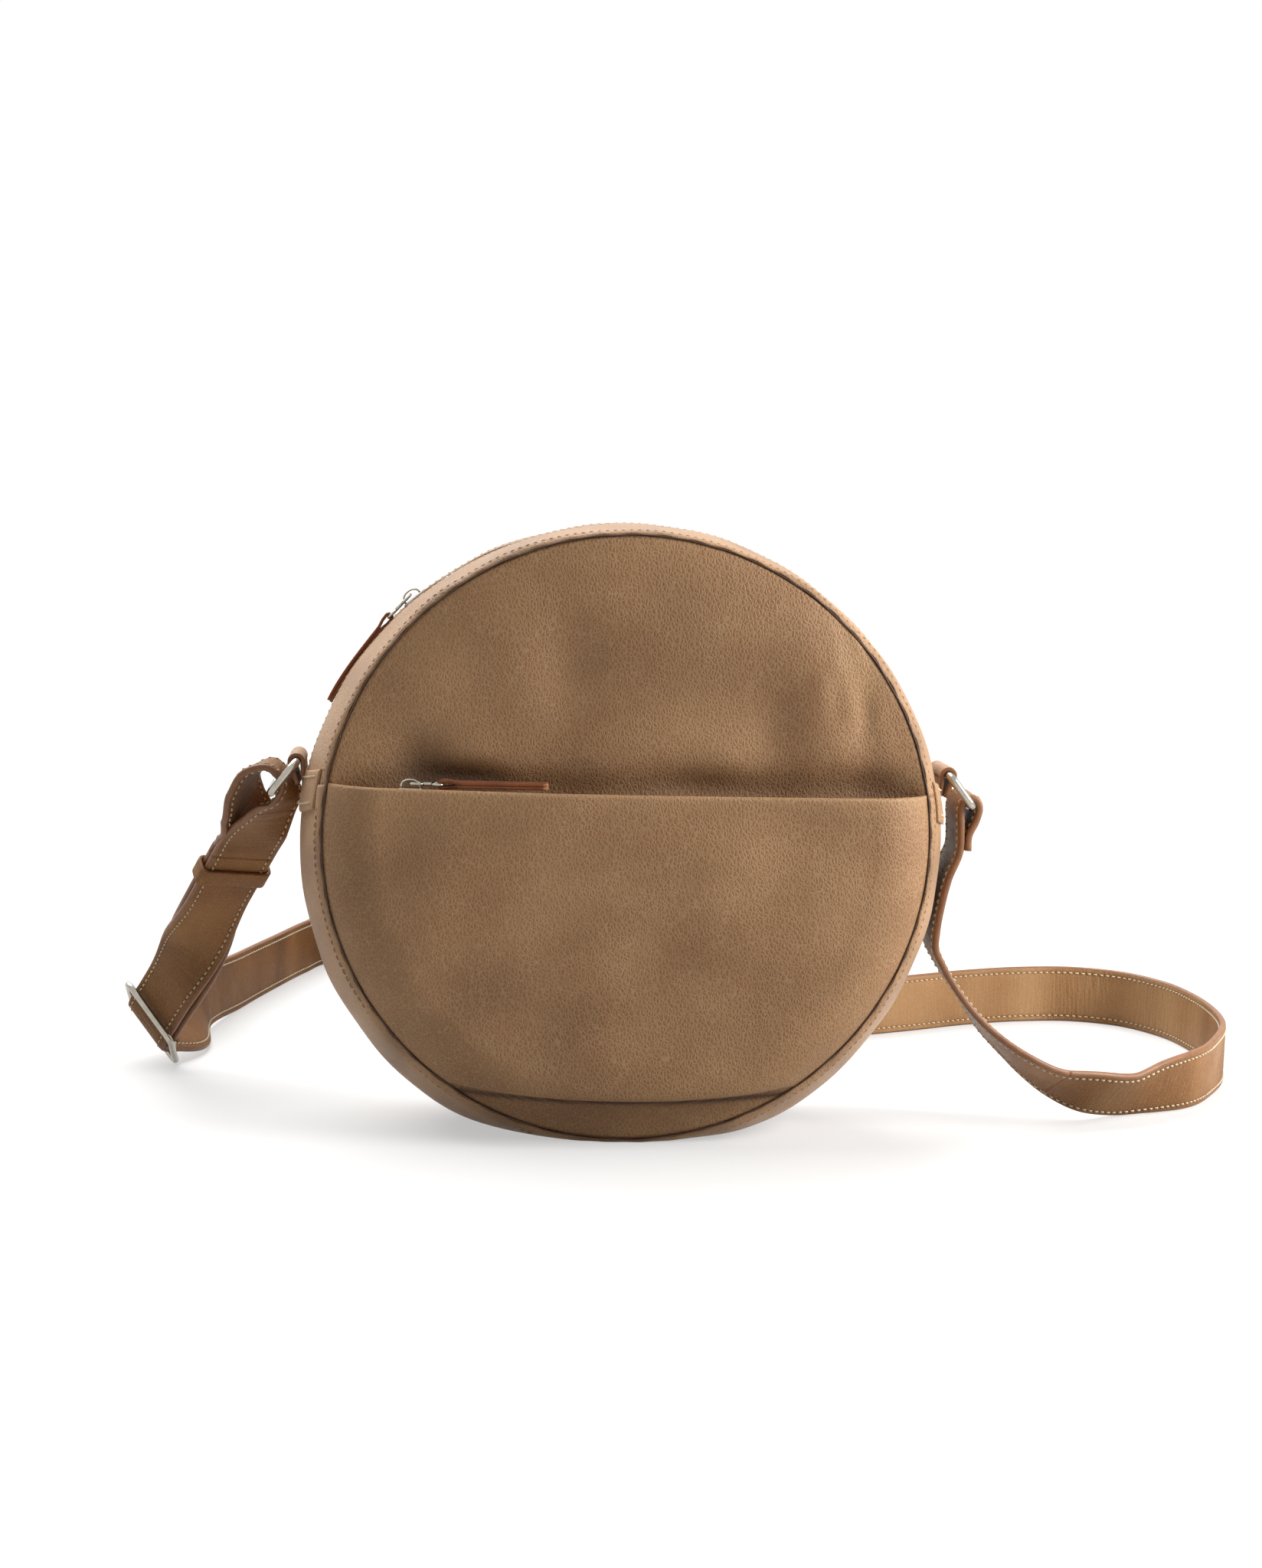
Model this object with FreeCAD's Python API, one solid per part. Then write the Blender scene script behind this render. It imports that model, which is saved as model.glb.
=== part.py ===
import FreeCAD, Part
import math
import os

# Round cross-body bag of grained leather: a zipped top, a zipped front pocket and an adjustable strap
# that lies on the floor round the bag. Millimetres, +Z up, front towards -Y, +X to the viewer's right,
# origin in the middle of the flat sole.

# Body of the bag
crest_radius = 136.0          # outside of the gusset at mid depth
crest_height = 120.5          # axis of that circle above the sole
seam_radius = 125.5           # front and back seams
seam_height = 127.0           # axis of the seams: the gusset sags a little below it
body_depth = 76.0             # front seam to back seam
gusset_wall = 2.0
panel_wall = 1.6
front_crown = 3.0             # swell of each panel past its seam
back_crown = 5.0
sewn_gap = 0.1                # between pieces sewn edge to edge
junction_angle = 80.5         # from the top to where the zipped strips meet the lower gusset
arch_shares = (1.0, 0.8, 0.6, 0.4, 0.2, 0.0)
cut_overrun = 2.0

# Front pocket
pocket_crown = 16.0
pocket_face_radius = 100.0    # where the face turns down to the seam
pocket_face_drop = 3.0
pocket_lip_height = 148.5
pocket_fold_height = 21.0
pocket_turn_mid_shares = (0.56, 0.26)

# Zips, one size for both
zip_opening = 9.2             # between the leather edges along the top
zip_sink = 1.4                # teeth plane below the gusset's crest
zip_angle = 73.0              # from the top to each end of the teeth
tape_width = 20.0
tape_wall = 0.8
tape_drop = 1.5               # from the teeth plane down to under the leather edge
row_gap = 1.4                 # between the two rows, for the slider's neck
tooth_width = 1.7
tooth_height = 1.9
tooth_root_share = 0.45
tooth_pitch = 2.4
stop_length = 2.4
pocket_zip_length = 194.0
pocket_zip_forward = 7.2      # in front of the front seam
pocket_zip_below_lip = 2.4

# Sliders and pulls
slider_width = 7.0
slider_length = 10.0
slider_plate = 1.0
slider_play = 0.25
slider_flange = 0.8
slider_neck = 0.9
slider_neck_length = 3.0
crown_length = 6.0
crown_height = 3.2
crown_width = 1.8
pin_radius = 0.8
pin_play = 0.08
puller_wall = 1.4
puller_arm = 1.0
puller_side_play = 0.3
puller_fork = 5.5             # pin to the end of the fork
puller_stem_width = 2.4
puller_stem = 3.0
puller_length = 13.0          # pin to far bar
eye_width = 7.0
eye_arm = 0.9
tab_length = 43.0
tab_width = 8.0
tab_wall = 2.6
tab_neck_width = 4.6
tab_neck = 5.0
tab_point = 2.0               # chamfer of the free end
tab_roll_wall = 1.0
main_slider_angle = -41.5     # from the top, towards the left
main_pull_tilt = 6.0          # puller and leather tab lean in from the slider's tangent
main_tab_tilt = 11.4
pocket_slider_x = -90.0

# Side tabs and rings
patch_wall = 1.3
patch_above = 3.0             # degrees above and below the junction
patch_below = 4.5
patch_side_margin = 4.0
ring_wire = 3.6
ring_inner_width = 32.0
ring_drop = 16.5              # bar to bar
ring_corner = 3.6
ring_hang = 52.0              # degrees below level at rest
ring_play = 0.08
loop_wall = 1.9
loop_width = 27.0
loop_angle = 76.2             # from the top
loop_stand = 5.6              # bar above the gusset
neck_wall = 2.4

# Strap
strap_width = 29.0
strap_wall = 3.0
strap_step = 9.0              # longest facet along the strap
strap_play = 0.4              # round the bars
layer_gap = 0.3               # between the two layers in the keeper
flap_length = 19.0            # sewn end below the right ring
keeper_length = 9.0
keeper_wall = 1.6
keeper_play = 0.35
keeper_run = 26.0             # straight doubled stretch that the keeper slides on
buckle_wire = 3.0
buckle_inner_width = 33.0
buckle_half_length = 13.0     # middle bar to outer bar
buckle_corner = 4.0
buckle_bow = 2.4              # outer bars stand out from the middle bar
end_loop_wall = 1.4           # sewn end round the middle bar
buckle_lean = 34.0            # degrees between strap and frame on each side of the middle bar
buckle_lift = 0.5             # room under the buckle's lowest corner for it to rock
strand_slack = 1.2            # inner strand hangs away from the outer one

# Places of the strap: shares of the crest radius on the floor, of the fall from the right ring,
# and of the turn round the left ring. Off the floor each place has the direction across the strap.
drop_shares = (
    ((-0.066, 0.008, -0.247), (-0.04, 1.0, 0.02)),
    ((-0.085, 0.024, -0.341), (-0.05, 1.0, 0.03)),
    ((-0.092, 0.040, -0.428), (-0.03, 1.0, 0.00)),
    ((-0.087, 0.047, -0.491), (0.03, 1.0, -0.03)),
    ((-0.052, 0.051, -0.562), (0.10, 0.98, -0.10)),
    ((0.026, 0.045, -0.675), (0.20, 0.96, -0.19)),
    ((0.116, 0.036, -0.788), (0.12, 0.96, -0.26)),
    ((0.245, 0.007, -0.895), (0.18, 0.86, -0.47)),
    ((0.362, 0.007, -0.963), (0.11, 0.81, -0.58)),
)
loop_shares = ((1.55, 0.017), (1.667, 0.063), (1.789, 0.121), (1.948, 0.235), (2.074, 0.43), (2.172, 0.656),
               (2.21, 0.90), (2.21, 1.13), (2.165, 1.375), (2.045, 1.565), (1.875, 1.64))
rear_shares = ((1.685, 1.625), (1.455, 1.545), (1.215, 1.42), (0.99, 1.315), (0.735, 1.235), (0.425, 1.25),
               (0.10, 1.425), (-0.205, 1.765), (-0.465, 2.19), (-0.675, 2.545))
left_shares = ((-0.855, 2.70), (-1.00, 2.595), (-1.08, 2.39), (-1.185, 2.05), (-1.30, 1.65), (-1.39, 1.27))
near_leans = (50, 38, 23, 14, 6)      # degrees that the strap leans at the near end of the loop
near_lift_share = 0.1                 # of the strap's width: how far it is still off the floor there
ring_turn_shares = (
    ((-2.0, 4.8, -5.6), (0.70, 0.62, -0.12)),
    ((-0.35, 2.9, -3.15), (0.42, 0.90, -0.06)),
    ((1.25, 0.75, -0.7), (0.10, 0.99, 0.0)),
    ((1.2, 0.05, 1.3), (0.06, 0.99, 0.0)),
    ((-0.2, -0.05, 2.75), (0.08, 0.99, 0.0)),
    ((-2.1, 0.15, 2.3), (0.18, 0.98, 0.0)),
    ((-3.6, 1.1, 0.4), (0.25, 0.96, 0.0)),
    ((-4.15, 3.0, -2.2), (0.40, 0.91, -0.03)),
    ((-4.2, 5.3, -4.9), (0.67, 0.72, -0.1)),
)
keeper_place_shares = (-1.228, 0.265, 0.735)
keeper_across_shares = (0.932, 0.32, -0.17)
buckle_place_shares = (-1.507, 0.713)
buckle_across_shares = (0.596, -0.471, -0.65)
buckle_approach_shares = (-0.412, -0.874, 0.256)

half_depth = body_depth / 2
zip_radius = crest_radius - zip_sink
row_inner = row_gap / 2
row_outer = row_inner + tooth_width
pin_height = tooth_height / 2 + slider_play + slider_plate + crown_height / 2
pocket_zip_y = -half_depth - pocket_zip_forward
pocket_zip_z = pocket_lip_height - pocket_zip_below_lip
ring_radius = ring_wire / 2
strap_turn = ring_radius + strap_play + strap_wall / 2
layer_pitch = strap_wall + layer_gap


def vec(x, y, z):
    return FreeCAD.Vector(x, y, z)


def unit(shares):
    direction = vec(*shares)
    direction.normalize()
    return direction


def box(x0, x1, y0, y1, z0, z1):
    return Part.makeBox(x1 - x0, y1 - y0, z1 - z0, vec(x0, y0, z0))


def rod(radius, start, end):
    along = end - start
    return Part.makeCylinder(radius, along.Length, start, along)


def prism(outline, y0, y1):
    """Outline of (x, z) points carried from y0 to y1."""
    points = [vec(x, y0, z) for x, z in outline]
    face = Part.Face(Part.makePolygon(points + points[:1]))
    return face.extrude(vec(0, y1 - y0, 0))


def placed(shape, origin, x_axis, y_axis):
    """Shape with its own X and Y axes turned to the two given directions."""
    turn = FreeCAD.Rotation(x_axis, y_axis, x_axis.cross(y_axis), "XYZ")
    moved = shape.copy()
    moved.Placement = FreeCAD.Placement(origin, turn)
    return moved


def fused(shapes):
    return shapes[0].multiFuse(shapes[1:]).removeSplitter()


def polar(angle, radius):
    """Place on a circle round the crest's axis, as x and z; the angle runs from the top to the right."""
    turn = math.radians(angle)
    return radius * math.sin(turn), crest_height + radius * math.cos(turn)


def arch(depth):
    """Outer radius and axis height of the gusset at a depth from the middle."""
    share = (depth / half_depth) ** 2
    radius = crest_radius + (seam_radius + gusset_wall - crest_radius) * share
    height = crest_height + (seam_height - crest_height) * share
    return radius, height


def gusset_block(near, far, offset, floor):
    """Everything inside the gusset's outer face moved out by offset, from depth near to far, above floor."""
    stations = [side * share * half_depth for share in arch_shares for side in (-1, 1)]
    depths = sorted({near, far} | {depth for depth in stations if near < depth < far})
    rings = []
    for depth in depths:
        radius, height = arch(depth)
        circle = Part.Circle(vec(0, depth, height), vec(0, 1, 0), radius + offset)
        rings.append(Part.Wire(circle.toShape()))
    block = Part.makeLoft(rings, True, True)
    reach = 2 * crest_radius
    return block.common(box(-reach, reach, -reach, reach, floor, floor + 2 * reach))


def gusset_shell(near, far):
    outer = gusset_block(near, far, 0, 0)
    return outer.cut(gusset_block(near - cut_overrun, far + cut_overrun, -gusset_wall, gusset_wall))


def zip_wedge():
    reach = 2 * crest_radius
    right_x, right_z = polar(junction_angle, reach)
    top = crest_height + reach
    outline = [(0, crest_height), (right_x, right_z), (right_x, top), (-right_x, top), (-right_x, right_z)]
    return prism(outline, -body_depth, body_depth)


def side_sector(side, start, end):
    reach = 2 * crest_radius
    corners = [(0, crest_height), polar(side * start, reach), polar(side * end, reach)]
    return prism(corners, -body_depth, body_depth)


def side_patch(side):
    """Leather band sewn across the gusset over the zip's end."""
    half = half_depth - patch_side_margin
    outer = gusset_block(-half, half, sewn_gap + patch_wall, 0)
    inner = gusset_block(-half - cut_overrun, half + cut_overrun, sewn_gap, -cut_overrun)
    sector = side_sector(side, junction_angle - patch_above, junction_angle + patch_below)
    return outer.cut(inner).common(sector)


def dome_block(profile, plane):
    """Solid between a plane of constant depth and a profile of arcs turned about the seams' axis."""
    edges = []
    for start, middle, end in profile:
        places = [vec(x, y, seam_height) for x, y in (start, middle, end)]
        edges.append(Part.Arc(*places).toShape())
    first = vec(profile[0][0][0], profile[0][0][1], seam_height)
    last = vec(profile[-1][2][0], profile[-1][2][1], seam_height)
    rim = vec(last.x, plane, seam_height)
    centre = vec(first.x, plane, seam_height)
    for start, end in ((last, rim), (rim, centre), (centre, first)):
        if start != end:
            edges.append(Part.makeLine(start, end))
    face = Part.Face(Part.Wire(Part.__sortEdges__(edges)))
    return face.revolve(vec(0, 0, seam_height), vec(0, 1, 0), 360)


def swell(rim, crown, plane):
    """One shallow arc from the middle of a panel to its rim; crown is negative towards the front."""
    middle_share = 0.75
    return [((0, plane + crown), (rim / 2, plane + crown * middle_share), (rim, plane))]


def pocket_profile(inset):
    """The pocket's face: a shallow arc, then a tighter one that turns down to the seam."""
    plane = -half_depth - sewn_gap
    crown = pocket_crown - inset
    rim = seam_radius - sewn_gap - inset
    edge_y = plane - crown + pocket_face_drop
    across_share, down_share = pocket_turn_mid_shares
    turn_x = pocket_face_radius + (rim - pocket_face_radius) * across_share
    turn_y = edge_y + (plane - edge_y) * down_share
    middle = (pocket_face_radius / 2, plane - crown + pocket_face_drop / 4)
    edge = (pocket_face_radius, edge_y)
    return [((0, plane - crown), middle, edge), (edge, (turn_x, turn_y), (rim, plane))]


def panel(crown, plane):
    rim = seam_radius - sewn_gap
    inward = math.copysign(panel_wall, -crown)
    outer = dome_block(swell(rim, crown, plane), plane + inward)
    hollow = dome_block(swell(rim, crown, plane + inward), plane + 2 * inward)
    wide = crest_radius
    above_sole = box(-wide, wide, -body_depth, body_depth, gusset_wall + sewn_gap, 2 * seam_height)
    return outer.cut(hollow).common(above_sole)


def pocket_space(margin):
    """Room between the front panel and the pocket, less a margin under the pocket."""
    plane = -half_depth - sewn_gap
    room = dome_block(pocket_profile(panel_wall + margin), plane)
    rim = seam_radius - sewn_gap
    return room.cut(dome_block(swell(rim, -front_crown, plane), plane + panel_wall))


def pocket_panel():
    plane = -half_depth - sewn_gap
    wide = crest_radius
    deep = body_depth
    hollow = dome_block(pocket_profile(panel_wall), plane + panel_wall)
    shell = dome_block(pocket_profile(0), plane).cut(hollow)
    shell = shell.common(box(-wide, wide, -deep, deep, pocket_fold_height, pocket_lip_height))
    fold_top = pocket_fold_height + panel_wall
    fold = pocket_space(0).common(box(-wide, wide, -deep, deep, pocket_fold_height, fold_top))
    return fused([shell, fold])


def tooth_row(point, length, y0, y1):
    """Row of teeth on a run; point turns a distance along and a height into x and z."""
    count = int(length / tooth_pitch)
    top = tooth_height / 2
    root = top * tooth_root_share
    outline = []
    for index in range(count):
        start = index * tooth_pitch
        middle = start + tooth_pitch / 2
        outline += [point(start, top), point(middle, top)]
        outline += [point(middle, root), point(start + tooth_pitch, root)]
    ends = [point(step * tooth_pitch, -top) for step in [*range(count, 0, -4), 0]]
    return prism(outline + ends, y0, y1)


def main_run(distance, height):
    angle = math.degrees(distance / zip_radius) - zip_angle
    return polar(angle, zip_radius + height)


def pocket_run(distance, height):
    return distance - pocket_zip_length / 2, pocket_zip_z + height


def main_tape(side):
    """Woven tape coaxial with the crest: level beside the teeth, then down and under the leather edge."""
    level_end = slider_width / 2 + sewn_gap
    edge = zip_opening / 2 - sewn_gap
    under = zip_radius - tape_drop
    beside = tape_ring(side, ((row_outer, zip_radius), (level_end, zip_radius), (edge, under)))
    room = gusset_block(-half_depth, half_depth, -gusset_wall - sewn_gap, 0)
    hidden = tape_ring(side, ((edge, under), (row_outer + tape_width, under))).common(room)
    return fused([beside, hidden]).common(zip_wedge())


def tape_ring(side, line):
    """Tape turned about the crest's axis; line is its middle as (depth, radius) places."""
    half_wall = tape_wall / 2
    outline = [(depth, radius + half_wall) for depth, radius in line]
    outline += [(depth, radius - half_wall) for depth, radius in line[::-1]]
    points = [vec(0, side * depth, crest_height + radius) for depth, radius in outline]
    face = Part.Face(Part.makePolygon(points + points[:1]))
    return face.revolve(vec(0, 0, crest_height), vec(0, 1, 0), 360)


def pocket_tape(side):
    half_wall = tape_wall / 2
    reach = pocket_zip_length / 2
    near = pocket_zip_y + row_outer if side > 0 else pocket_zip_y - tape_width
    far = near + tape_width - row_outer
    strip = box(-reach, reach, near, far, pocket_zip_z - half_wall, pocket_zip_z + half_wall)
    return strip.common(pocket_space(sewn_gap))


def zip_stops(point, length, y_middle):
    """Metal stop across both rows at each end of a zip."""
    half = tooth_height / 2
    whole = int(length / tooth_pitch) * tooth_pitch
    stops = []
    for start in (-stop_length - sewn_gap, whole + sewn_gap):
        end = start + stop_length
        outline = [point(start, -half), point(end, -half), point(end, half), point(start, half)]
        stops.append(prism(outline, y_middle - row_outer, y_middle + row_outer))
    return Part.makeCompound(stops)


def slider():
    """Slider in its own frame: X along the zip, Y across, Z out, origin in the middle of the teeth."""
    half_x = slider_length / 2
    half_y = slider_width / 2
    plate_in = tooth_height / 2 + slider_play
    plate_out = plate_in + slider_plate
    flange_in = tape_wall / 2 + slider_play
    neck_half = slider_neck / 2
    solids = [box(-half_x, half_x, -half_y, half_y, plate_in, plate_out),
              box(-half_x, half_x, -half_y, half_y, -plate_out, -plate_in),
              box(half_x - slider_neck_length, half_x, -neck_half, neck_half, -plate_in, plate_in)]
    for side in (-1, 1):
        edge = sorted((side * half_y, side * (half_y - slider_flange)))
        solids.append(box(-half_x, half_x, edge[0], edge[1], flange_in, plate_in))
        solids.append(box(-half_x, half_x, edge[0], edge[1], -plate_in, -flange_in))
    crown_half = crown_width / 2
    crown_end = crown_length / 2
    crown_top = plate_out + crown_height
    solids.append(box(-crown_end, crown_end, -crown_half, crown_half, plate_out, crown_top))
    bore = rod(pin_radius + pin_play, vec(0, -slider_width, pin_height), vec(0, slider_width, pin_height))
    return fused(solids).cut(bore)


def puller():
    """Metal pull in its own frame: X along the pull from the pin, Y along the pin."""
    half = puller_wall / 2
    fork_in = crown_width / 2 + puller_side_play
    fork_out = fork_in + puller_arm
    eye_out = eye_width / 2
    eye_in = eye_out - eye_arm
    stem_end = puller_fork + puller_stem
    eye_start = stem_end + puller_arm
    solids = [rod(pin_radius, vec(0, -fork_out, 0), vec(0, fork_out, 0)),
              box(puller_fork - puller_arm, puller_fork, -fork_out, fork_out, -half, half),
              box(puller_fork, stem_end, -puller_stem_width / 2, puller_stem_width / 2, -half, half),
              box(stem_end, eye_start, -eye_out, eye_out, -half, half),
              rod(pin_radius, vec(puller_length, -eye_out, 0), vec(puller_length, eye_out, 0))]
    for side in (-1, 1):
        arm = sorted((side * fork_in, side * fork_out))
        eye = sorted((side * eye_in, side * eye_out))
        solids.append(box(0, puller_fork, arm[0], arm[1], -half, half))
        solids.append(box(stem_end, puller_length, eye[0], eye[1], -half, half))
        solids.append(rod(half, vec(0, arm[0], 0), vec(0, arm[1], 0)))
        solids.append(rod(half, vec(puller_length, eye[0], 0), vec(puller_length, eye[1], 0)))
    return fused(solids)


def pull_tab():
    """Leather tab in its own frame: X along the tab from the bar it is folded round."""
    half = tab_wall / 2
    bore = pin_radius + pin_play
    roll = bore + tab_roll_wall
    neck = tab_neck_width / 2
    wide = tab_width / 2
    end = tab_length
    shoulder = end - tab_point
    tip = wide - tab_point
    right = [(tab_neck, -wide), (shoulder, -wide), (end, -tip)]
    left = [(x, -y) for x, y in right[::-1]]
    outline = [vec(x, y, -half) for x, y in right + left]
    blade = Part.Face(Part.makePolygon(outline + outline[:1])).extrude(vec(0, 0, tab_wall))
    solids = [rod(roll, vec(0, -neck, 0), vec(0, neck, 0))]
    solids += [box(0, tab_neck, -neck, neck, -half, half), blade]
    return fused(solids).cut(rod(bore, vec(0, -tab_width, 0), vec(0, tab_width, 0)))


def wire_loop(width, length, corner, wire):
    """Round wire bent to a rectangle, width along X and length along Y from zero, with rounded corners."""
    half = width / 2
    radius = wire / 2
    solids = []
    for y in (0, length):
        solids.append(rod(radius, vec(corner - half, y, 0), vec(half - corner, y, 0)))
    for x in (-half, half):
        solids.append(rod(radius, vec(x, corner, 0), vec(x, length - corner, 0)))
    for side_x, start in ((-1, vec(-half, 0, 0)), (1, vec(half, 0, 0))):
        for side_y in (0, 1):
            centre = vec(start.x - side_x * corner, side_y * (length - corner) + (1 - side_y) * corner, 0)
            from_bar = vec(centre.x, side_y * length, 0)
            section = Part.Face(Part.Wire(Part.Circle(from_bar, vec(1, 0, 0), radius).toShape()))
            sweep = 90 if (side_x > 0) != (side_y > 0) else -90
            solids.append(section.revolve(centre, vec(0, 0, 1), sweep))
    return fused(solids)


def loop_centre(side):
    x, z = polar(side * loop_angle, crest_radius + loop_stand)
    return vec(x, 0, z)


def ring_direction(side):
    hang = math.radians(ring_hang)
    return vec(side * math.cos(hang), 0, -math.sin(hang))


def ring(side):
    loop = wire_loop(ring_inner_width + ring_wire, ring_drop, ring_corner, ring_wire)
    return placed(loop, loop_centre(side), vec(0, 1, 0), ring_direction(side))


def far_bar(side):
    return loop_centre(side) + ring_direction(side) * ring_drop


def ring_tab(side):
    """Leather strip rolled round the ring's bar, standing on the side patch's upper edge."""
    centre = loop_centre(side)
    half = loop_width / 2
    bore = ring_radius + ring_play
    roll_radius = bore + loop_wall
    across = vec(0, half, 0)
    roll = rod(roll_radius, centre - across, centre + across)
    foot_angle = side * (junction_angle - patch_above)
    inner = crest_radius + sewn_gap
    foot_in = polar(foot_angle, inner)
    foot_out = polar(foot_angle, inner + neck_wall)
    turn = math.radians(side * loop_angle)
    out_x, out_z = math.sin(turn) * roll_radius, math.cos(turn) * roll_radius
    top_in = (centre.x - out_x / 2, centre.z - out_z / 2)
    top_out = (centre.x + out_x / 2, centre.z + out_z / 2)
    neck = prism([foot_in, foot_out, top_out, top_in], -half, half)
    neck = neck.cut(gusset_block(-half_depth, half_depth, sewn_gap, 0))
    return fused([roll, neck]).cut(rod(bore, centre - across * 2, centre + across * 2))


class Buckle:
    """Place and directions of the slide buckle that stands on the floor left of the bag."""

    def __init__(self):
        self.across = unit(buckle_across_shares)
        approach = unit(buckle_approach_shares)
        keeper = keeper_centre()
        share_x, share_y = buckle_place_shares
        guess = vec(share_x * crest_radius, share_y * crest_radius, strap_width / 2)
        leave = square_to(keeper - guess, self.across)
        approach = square_to(approach, self.across)
        self.along = approach + leave
        self.along.normalize()
        self.out = self.across.cross(self.along)
        radius = buckle_wire / 2
        half_width = (buckle_inner_width + buckle_wire) / 2
        low = abs(self.across.z) * half_width + abs(self.along.z) * buckle_half_length
        low += abs(self.out.z) * buckle_bow + radius
        low -= buckle_corner * (1 - math.sqrt(0.5)) * (abs(self.across.z) + abs(self.along.z))
        self.middle = vec(guess.x, guess.y, low + buckle_lift)

    def at(self, along, out):
        return self.middle + self.along * along + self.out * out


def keeper_centre():
    x, y, z = keeper_place_shares
    return vec(x * crest_radius, y * crest_radius, z * crest_radius)


def square_to(direction, axis):
    """Unit direction with its part along the axis taken out."""
    flat = direction - axis * direction.dot(axis)
    flat.normalize()
    return flat


def slide_buckle(place):
    radius = buckle_wire / 2
    width = buckle_inner_width + buckle_wire
    frame = wire_loop(width, 2 * buckle_half_length, buckle_corner, buckle_wire)
    frame.translate(vec(0, -buckle_half_length, buckle_bow))
    bar = rod(radius, vec(-width / 2, 0, 0), vec(width / 2, 0, 0))
    return placed(fused([frame, bar]), place.middle, place.across, place.along)


def keeper_axes(place):
    """Centre of the keeper, and the directions along, across and out of the doubled strap there."""
    centre = keeper_centre()
    across = unit(keeper_across_shares)
    along = square_to(far_bar(-1) - place.middle, across)
    return centre, along, across, across.cross(along)


def strap_keeper(place):
    centre, along, across, out = keeper_axes(place)
    hole_x = strap_width / 2 + keeper_play
    hole_z = strap_wall + layer_gap / 2 + keeper_play
    half = keeper_length / 2
    out_x = hole_x + keeper_wall
    out_z = hole_z + keeper_wall
    sleeve = box(-out_x, out_x, -half, half, -out_z, out_z)
    hole = box(-hole_x, hole_x, -half - cut_overrun, half + cut_overrun, -hole_z, hole_z)
    edges = [edge for edge in sleeve.Edges if abs(edge.tangentAt(0).y) > 1 - 1e-6]
    return placed(sleeve.makeFillet(keeper_wall, edges).cut(hole), centre, across, along)


def floor_stops():
    """Strap on the floor: on edge, or leaning by an angle, with its lower corner on the floor."""
    places = [vec(x, y, 0) * crest_radius for x, y in loop_shares + rear_shares + left_shares]
    leans = list(near_leans) + [0] * (len(places) - len(near_leans))
    stops = []
    for place, line, degrees in zip(places, slopes(places), leans):
        lean = math.radians(degrees)
        height = math.cos(lean) * strap_width / 2 + math.sin(lean) * strap_wall / 2
        aside = square_to(vec(-line.y, line.x, 0), line)
        across = aside * math.sin(lean) - vec(0, 0, math.cos(lean))
        lift = near_lift_share * strap_width if not stops else 0
        stops.append((place + vec(0, 0, height + lift), across))
    return stops


def right_end_stops():
    """Sewn end: up the outside of the right ring's bar, over it and down the inside."""
    bar = far_bar(1)
    turn = strap_turn
    flap_out = layer_pitch - turn
    outer_shares = ((flap_out, -1.0), (flap_out + sewn_gap, -0.68), (turn * 0.75, -0.3))
    places = [(x, share * flap_length) for x, share in outer_shares]
    places += [(turn * math.cos(math.radians(angle)), turn * math.sin(math.radians(angle)))
               for angle in range(0, 181, 45)]
    places += [(-turn, -flap_length / 2), (-turn, -flap_length)]
    return [(bar + vec(x, 0, z), vec(0, 1, 0)) for x, z in places]


def drop_stops():
    bar = far_bar(1)
    fall = bar.z - strap_width / 2
    return [(bar + vec(*shares) * fall, vec(*across)) for shares, across in drop_shares]


def buckle_turn():
    """Radius of the running strap's middle line over the sewn end on the middle bar."""
    return buckle_wire / 2 + end_loop_wall + 2 * layer_gap + strap_wall / 2


def buckle_stops(place, side):
    """Running strap on one side of the middle bar, from the bar outwards."""
    lean = math.radians(buckle_lean)
    start_along = buckle_turn() * math.sin(lean)
    start_out = buckle_turn() * math.cos(lean)
    stops = []
    for share in (0, 1, 1.85):
        step = share * (buckle_half_length - start_along)
        middle = place.at(side * (start_along + step), start_out - step * math.tan(lean))
        stops.append((middle, place.across))
    return stops


def keeper_stop(place, side, share):
    """Middle of the outer or inner layer at a share of the keeper's run."""
    centre, along, across, out = keeper_axes(place)
    return centre + along * (share * keeper_run / 2) + out * (side * layer_pitch / 2), across


def ring_turn_stops():
    bar = far_bar(-1)
    return [(bar + vec(*shares) * strap_turn, vec(*across)) for shares, across in ring_turn_shares]


def rear_strand_stops(place):
    lean = math.radians(buckle_lean)
    away = place.along * math.cos(lean) - place.out * math.sin(lean)
    start = buckle_wire / 2 + layer_gap + end_loop_wall / 2
    far = place.middle + away * (1.85 * buckle_half_length) - place.out * strand_slack
    near = place.middle + away * buckle_half_length
    return [(point, place.across) for point in (far, near, place.middle + away * start)]


def strap_route(place):
    """The strap from its sewn right end to its sewn left end: each node with the stops that it ends on."""
    floor = floor_stops()
    loop_end = len(loop_shares)
    rear_end = loop_end + len(rear_shares)
    left = floor[rear_end:] + buckle_stops(place, -1)[::-1] + [(place.at(0, buckle_turn()), place.across)]
    front = buckle_stops(place, 1) + [keeper_stop(place, 1, share) for share in (-1.3, -1, 1)]
    turn = [keeper_stop(place, 1, 1.3)] + ring_turn_stops()
    turn += [keeper_stop(place, -1, share) for share in (1.3, 1)]
    rear = [keeper_stop(place, -1, share) for share in (-1, -1.3)] + rear_strand_stops(place)
    return [("strap_right_end", right_end_stops()),
            ("strap_right_drop", drop_stops()),
            ("strap_floor_loop", floor[:loop_end]),
            ("strap_rear_run", floor[loop_end:rear_end]),
            ("strap_left_run", left),
            ("strap_front_strand", front),
            ("strap_ring_turn", turn),
            ("strap_rear_strand", rear)]


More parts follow.
